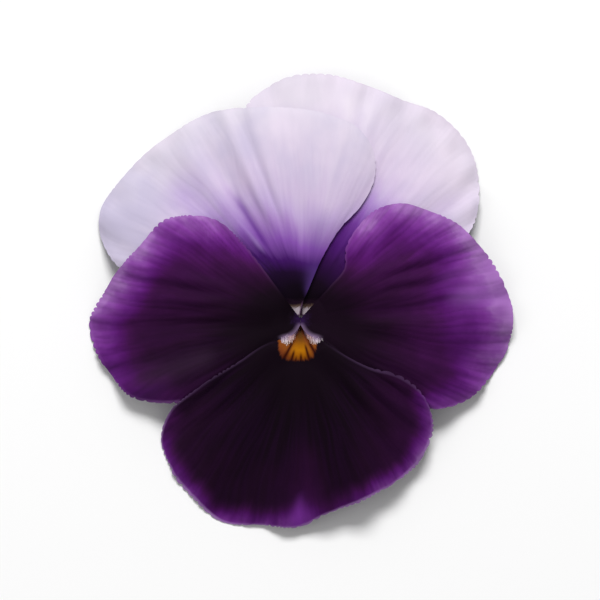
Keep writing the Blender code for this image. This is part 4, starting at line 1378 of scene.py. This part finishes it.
def makeSepal(name, bearing, trees, material):
    cos, sin = math.cos(math.radians(bearing)), math.sin(math.radians(bearing))
    foot, footHalf = sepals["footShare"], sepals["footHalf"]
    share = np.linspace(0, 1, sepals["rows"])
    line = curveThrough(sepals["path"], share)
    flap = footHalf + sepals["flapHalf"] * np.sqrt(np.sin(math.pi * np.clip(share / foot, 0, 1)))
    blade = np.clip((share - foot) / (1 - foot), 0, 1)
    swell = np.maximum(np.sin(math.pi * np.minimum(1, blade * 1.05)), 0.0) ** 0.8
    leaf = footHalf + (sepals["bladeHalf"] - footHalf) * swell
    leaf = np.maximum(leaf * (1 - 0.75 * blade ** 3), sepals["tipHalf"])
    leaf = leaf * (1 - 0.7 * smoothStep(0.96, 1.0, share))
    points = np.column_stack([line[:, 0] * cos, line[:, 0] * sin, line[:, 1]])
    guide = guideLine(name, points, np.where(share < foot, flap, leaf))
    addTree(guide, trees["leaf"], {**leafSizes, **sepals["sizes"], "Across": (-sin, cos, 0.0),
                                   "Seed": bearing / 10, "Material": material})
    sheet = settle(guide, name)
    weights = 1 - smoothStep(0.6, 1.0, np.abs(readFloat(sheet.data, "side")))
    thicken(sheet, weights, sepals["thickness"], sepals["edgeThickness"])
    piece = settle(sheet, name + "_leaf")
    piece.data.shade_smooth()
    return piece


pistil = {
    "path": upright([5.3, 5.4, 5.75, 6.1, 6.4, 6.62, 6.85, 7.0, 7.2, 7.42, 7.58, 7.64]),
    "radii": [0.34, 0.48, 0.59, 0.52, 0.3, 0.17, 0.18, 0.33, 0.4, 0.36, 0.2, 0.02],
    "rows": 60,
    "sweep": {"Sides": 36, "Ribs": 3.0, "Rib Height": 0.02, "Unevenness": 0.03, "Lump Size": 0.5},
}


def pistilFinish():
    finish = greenFinish("pistilGreen", (190, 200, 120), (150, 168, 84), 0.35)
    along = finish.read("along")
    finish.lay(along.ease(0.62, 0.75), (214, 214, 150))  # stigma
    # Painted shade darkens the stigma's mouth, where its opening is
    finish.lay(along.ease(0.96, 0.99), (120, 120, 60))  # its mouth
    return finish.done()


stamens = {
    "bearings": (90, 162, 234, 306, 18),
    "foot": 5.3, "height": 1.5, "ring": 1.05, "lean": 0.3,
    "depth": 0.17, "width": 0.44, "fullness": 0.6,
    "groove": 0.05, "grooveWidth": 0.4,
    "rings": 22, "sides": 28,
}

# The two lower stamens have a tail into the spur
tail = {
    "bearings": (234, 306),
    "path": [(0.6, -0.85, 5.85), (0.5, -1.9, 5.9), (0.36, -3.0, 5.65), (0.3, -3.65, 4.75), (0.3, -4.1, 3.9)],
    "radii": [0.15, 0.15, 0.14, 0.13, 0.1],
    "rows": 24,
    "sweep": {"Sides": 12, "Unevenness": 0.03, "Lump Size": 0.4},
}


def antherFinish():
    finish = Finish("antherCream", 0.6, 0.2)
    finish.colour = finish.tones(finish.read("along"), [
        (0.0, (214, 208, 150)), (0.6, (236, 222, 170)), (0.74, (206, 142, 60)), (1.0, (168, 92, 36))])
    return finish.done()


# An anther with two pollen sacs that leans on the pistil
def makeStamen(number, bearing, trees, material):
    name = f"stamen_{number}"
    cos, sin = math.cos(math.radians(bearing)), math.sin(math.radians(bearing))
    rows, sides = stamens["rings"], stamens["sides"]
    points, along = [], []
    for row in range(rows):
        share = 0.5 - 0.5 * math.cos(math.pi * row / (rows - 1))
        swell = max(math.sin(math.pi * share), 0.0) ** stamens["fullness"] if 0 < row < rows - 1 else 0.0
        for step in range(sides if swell else 1):
            turn = math.tau * step / sides
            forward, sideways = math.cos(turn) * swell, math.sin(turn)
            groove = stamens["groove"] * math.exp(-(sideways / stamens["grooveWidth"]) ** 2) * swell
            out = stamens["ring"] - stamens["lean"] * share ** 2 + stamens["depth"] * forward
            out -= groove if forward > 0 else 0.0
            across = stamens["width"] * sideways * swell
            points.append((out * cos - across * sin, out * sin + across * cos,
                           stamens["foot"] + share * stamens["height"]))
            along.append(share)
    last = len(points) - 1
    top = last - sides
    faces = [(0, 1 + (step + 1) % sides, 1 + step) for step in range(sides)]
    for start in range(1, top, sides):
        for step in range(sides):
            after = (step + 1) % sides
            faces.append((start + step, start + after, start + sides + after, start + sides + step))
    faces += [(last, top + step, top + (step + 1) % sides) for step in range(sides)]
    mesh = bpy.data.meshes.new(name)
    mesh.from_pydata(((np.array(points) + knot) * mm).tolist(), [], faces)
    storeFloat(mesh, "along", along)
    mesh.materials.append(material)
    piece = newObject(name + "_anther", mesh)
    faceOutwards(mesh)
    if bearing in tail["bearings"]:
        side = math.copysign(1.0, cos)
        path = [(side * x, y, z) for x, y, z in tail["path"]]
        spike = sweep(name + "_tail", {**tail, "path": path}, trees, material)
        piece = joined([piece, spike], name + "_anther")
    mesh.shade_smooth()
    return piece


makeCamera()
makeStudio()
print("camera and studio ready")

trees = {"relief": makeReliefTree(), "sweep": makeSweepTree(), "leaf": makeLeafTree(), "hair": makeHairTree()}
hairFinish = beardFinish()
petalSlots = {"upper_right_petal": "upper_petal", "upper_left_petal": "upper_petal",
              "left_side_petal": "side_petal", "right_side_petal": "side_petal", "lower_petal": "lower_petal"}
fronts = {"upper_petal": upperFinish, "side_petal": sideFinish, "lower_petal": lowerFinish}
backs = {slotName: backFinish(slotName) for slotName in fronts}
for petalName, slotName in petalSlots.items():
    bloom = makePetal(petalName, trees, fronts[slotName](petalName), backs[slotName], hairFinish)
    if petalName == "lower_petal":
        bloom = joined([bloom, makeSpur(trees, spurFinish())], bloom.name)
    finishPiece(bloom, petalName)
print("petals ready")

finishPiece(makeStalk(trees, stalkFinish()), "receptacle_and_stalk")
green = sepalFinish()
for sepalName, bearing in sepals["bearings"].items():
    finishPiece(makeSepal(sepalName, bearing, trees, green), sepalName)
finishPiece(sweep("pistil_grown", pistil, trees, pistilFinish()), "pistil")
cream = antherFinish()
for number, bearing in enumerate(stamens["bearings"], start=1):
    finishPiece(makeStamen(number, bearing, trees, cream), f"stamen_{number}")
print("throat, sepals and stalk ready")

bpy.context.view_layer.update()
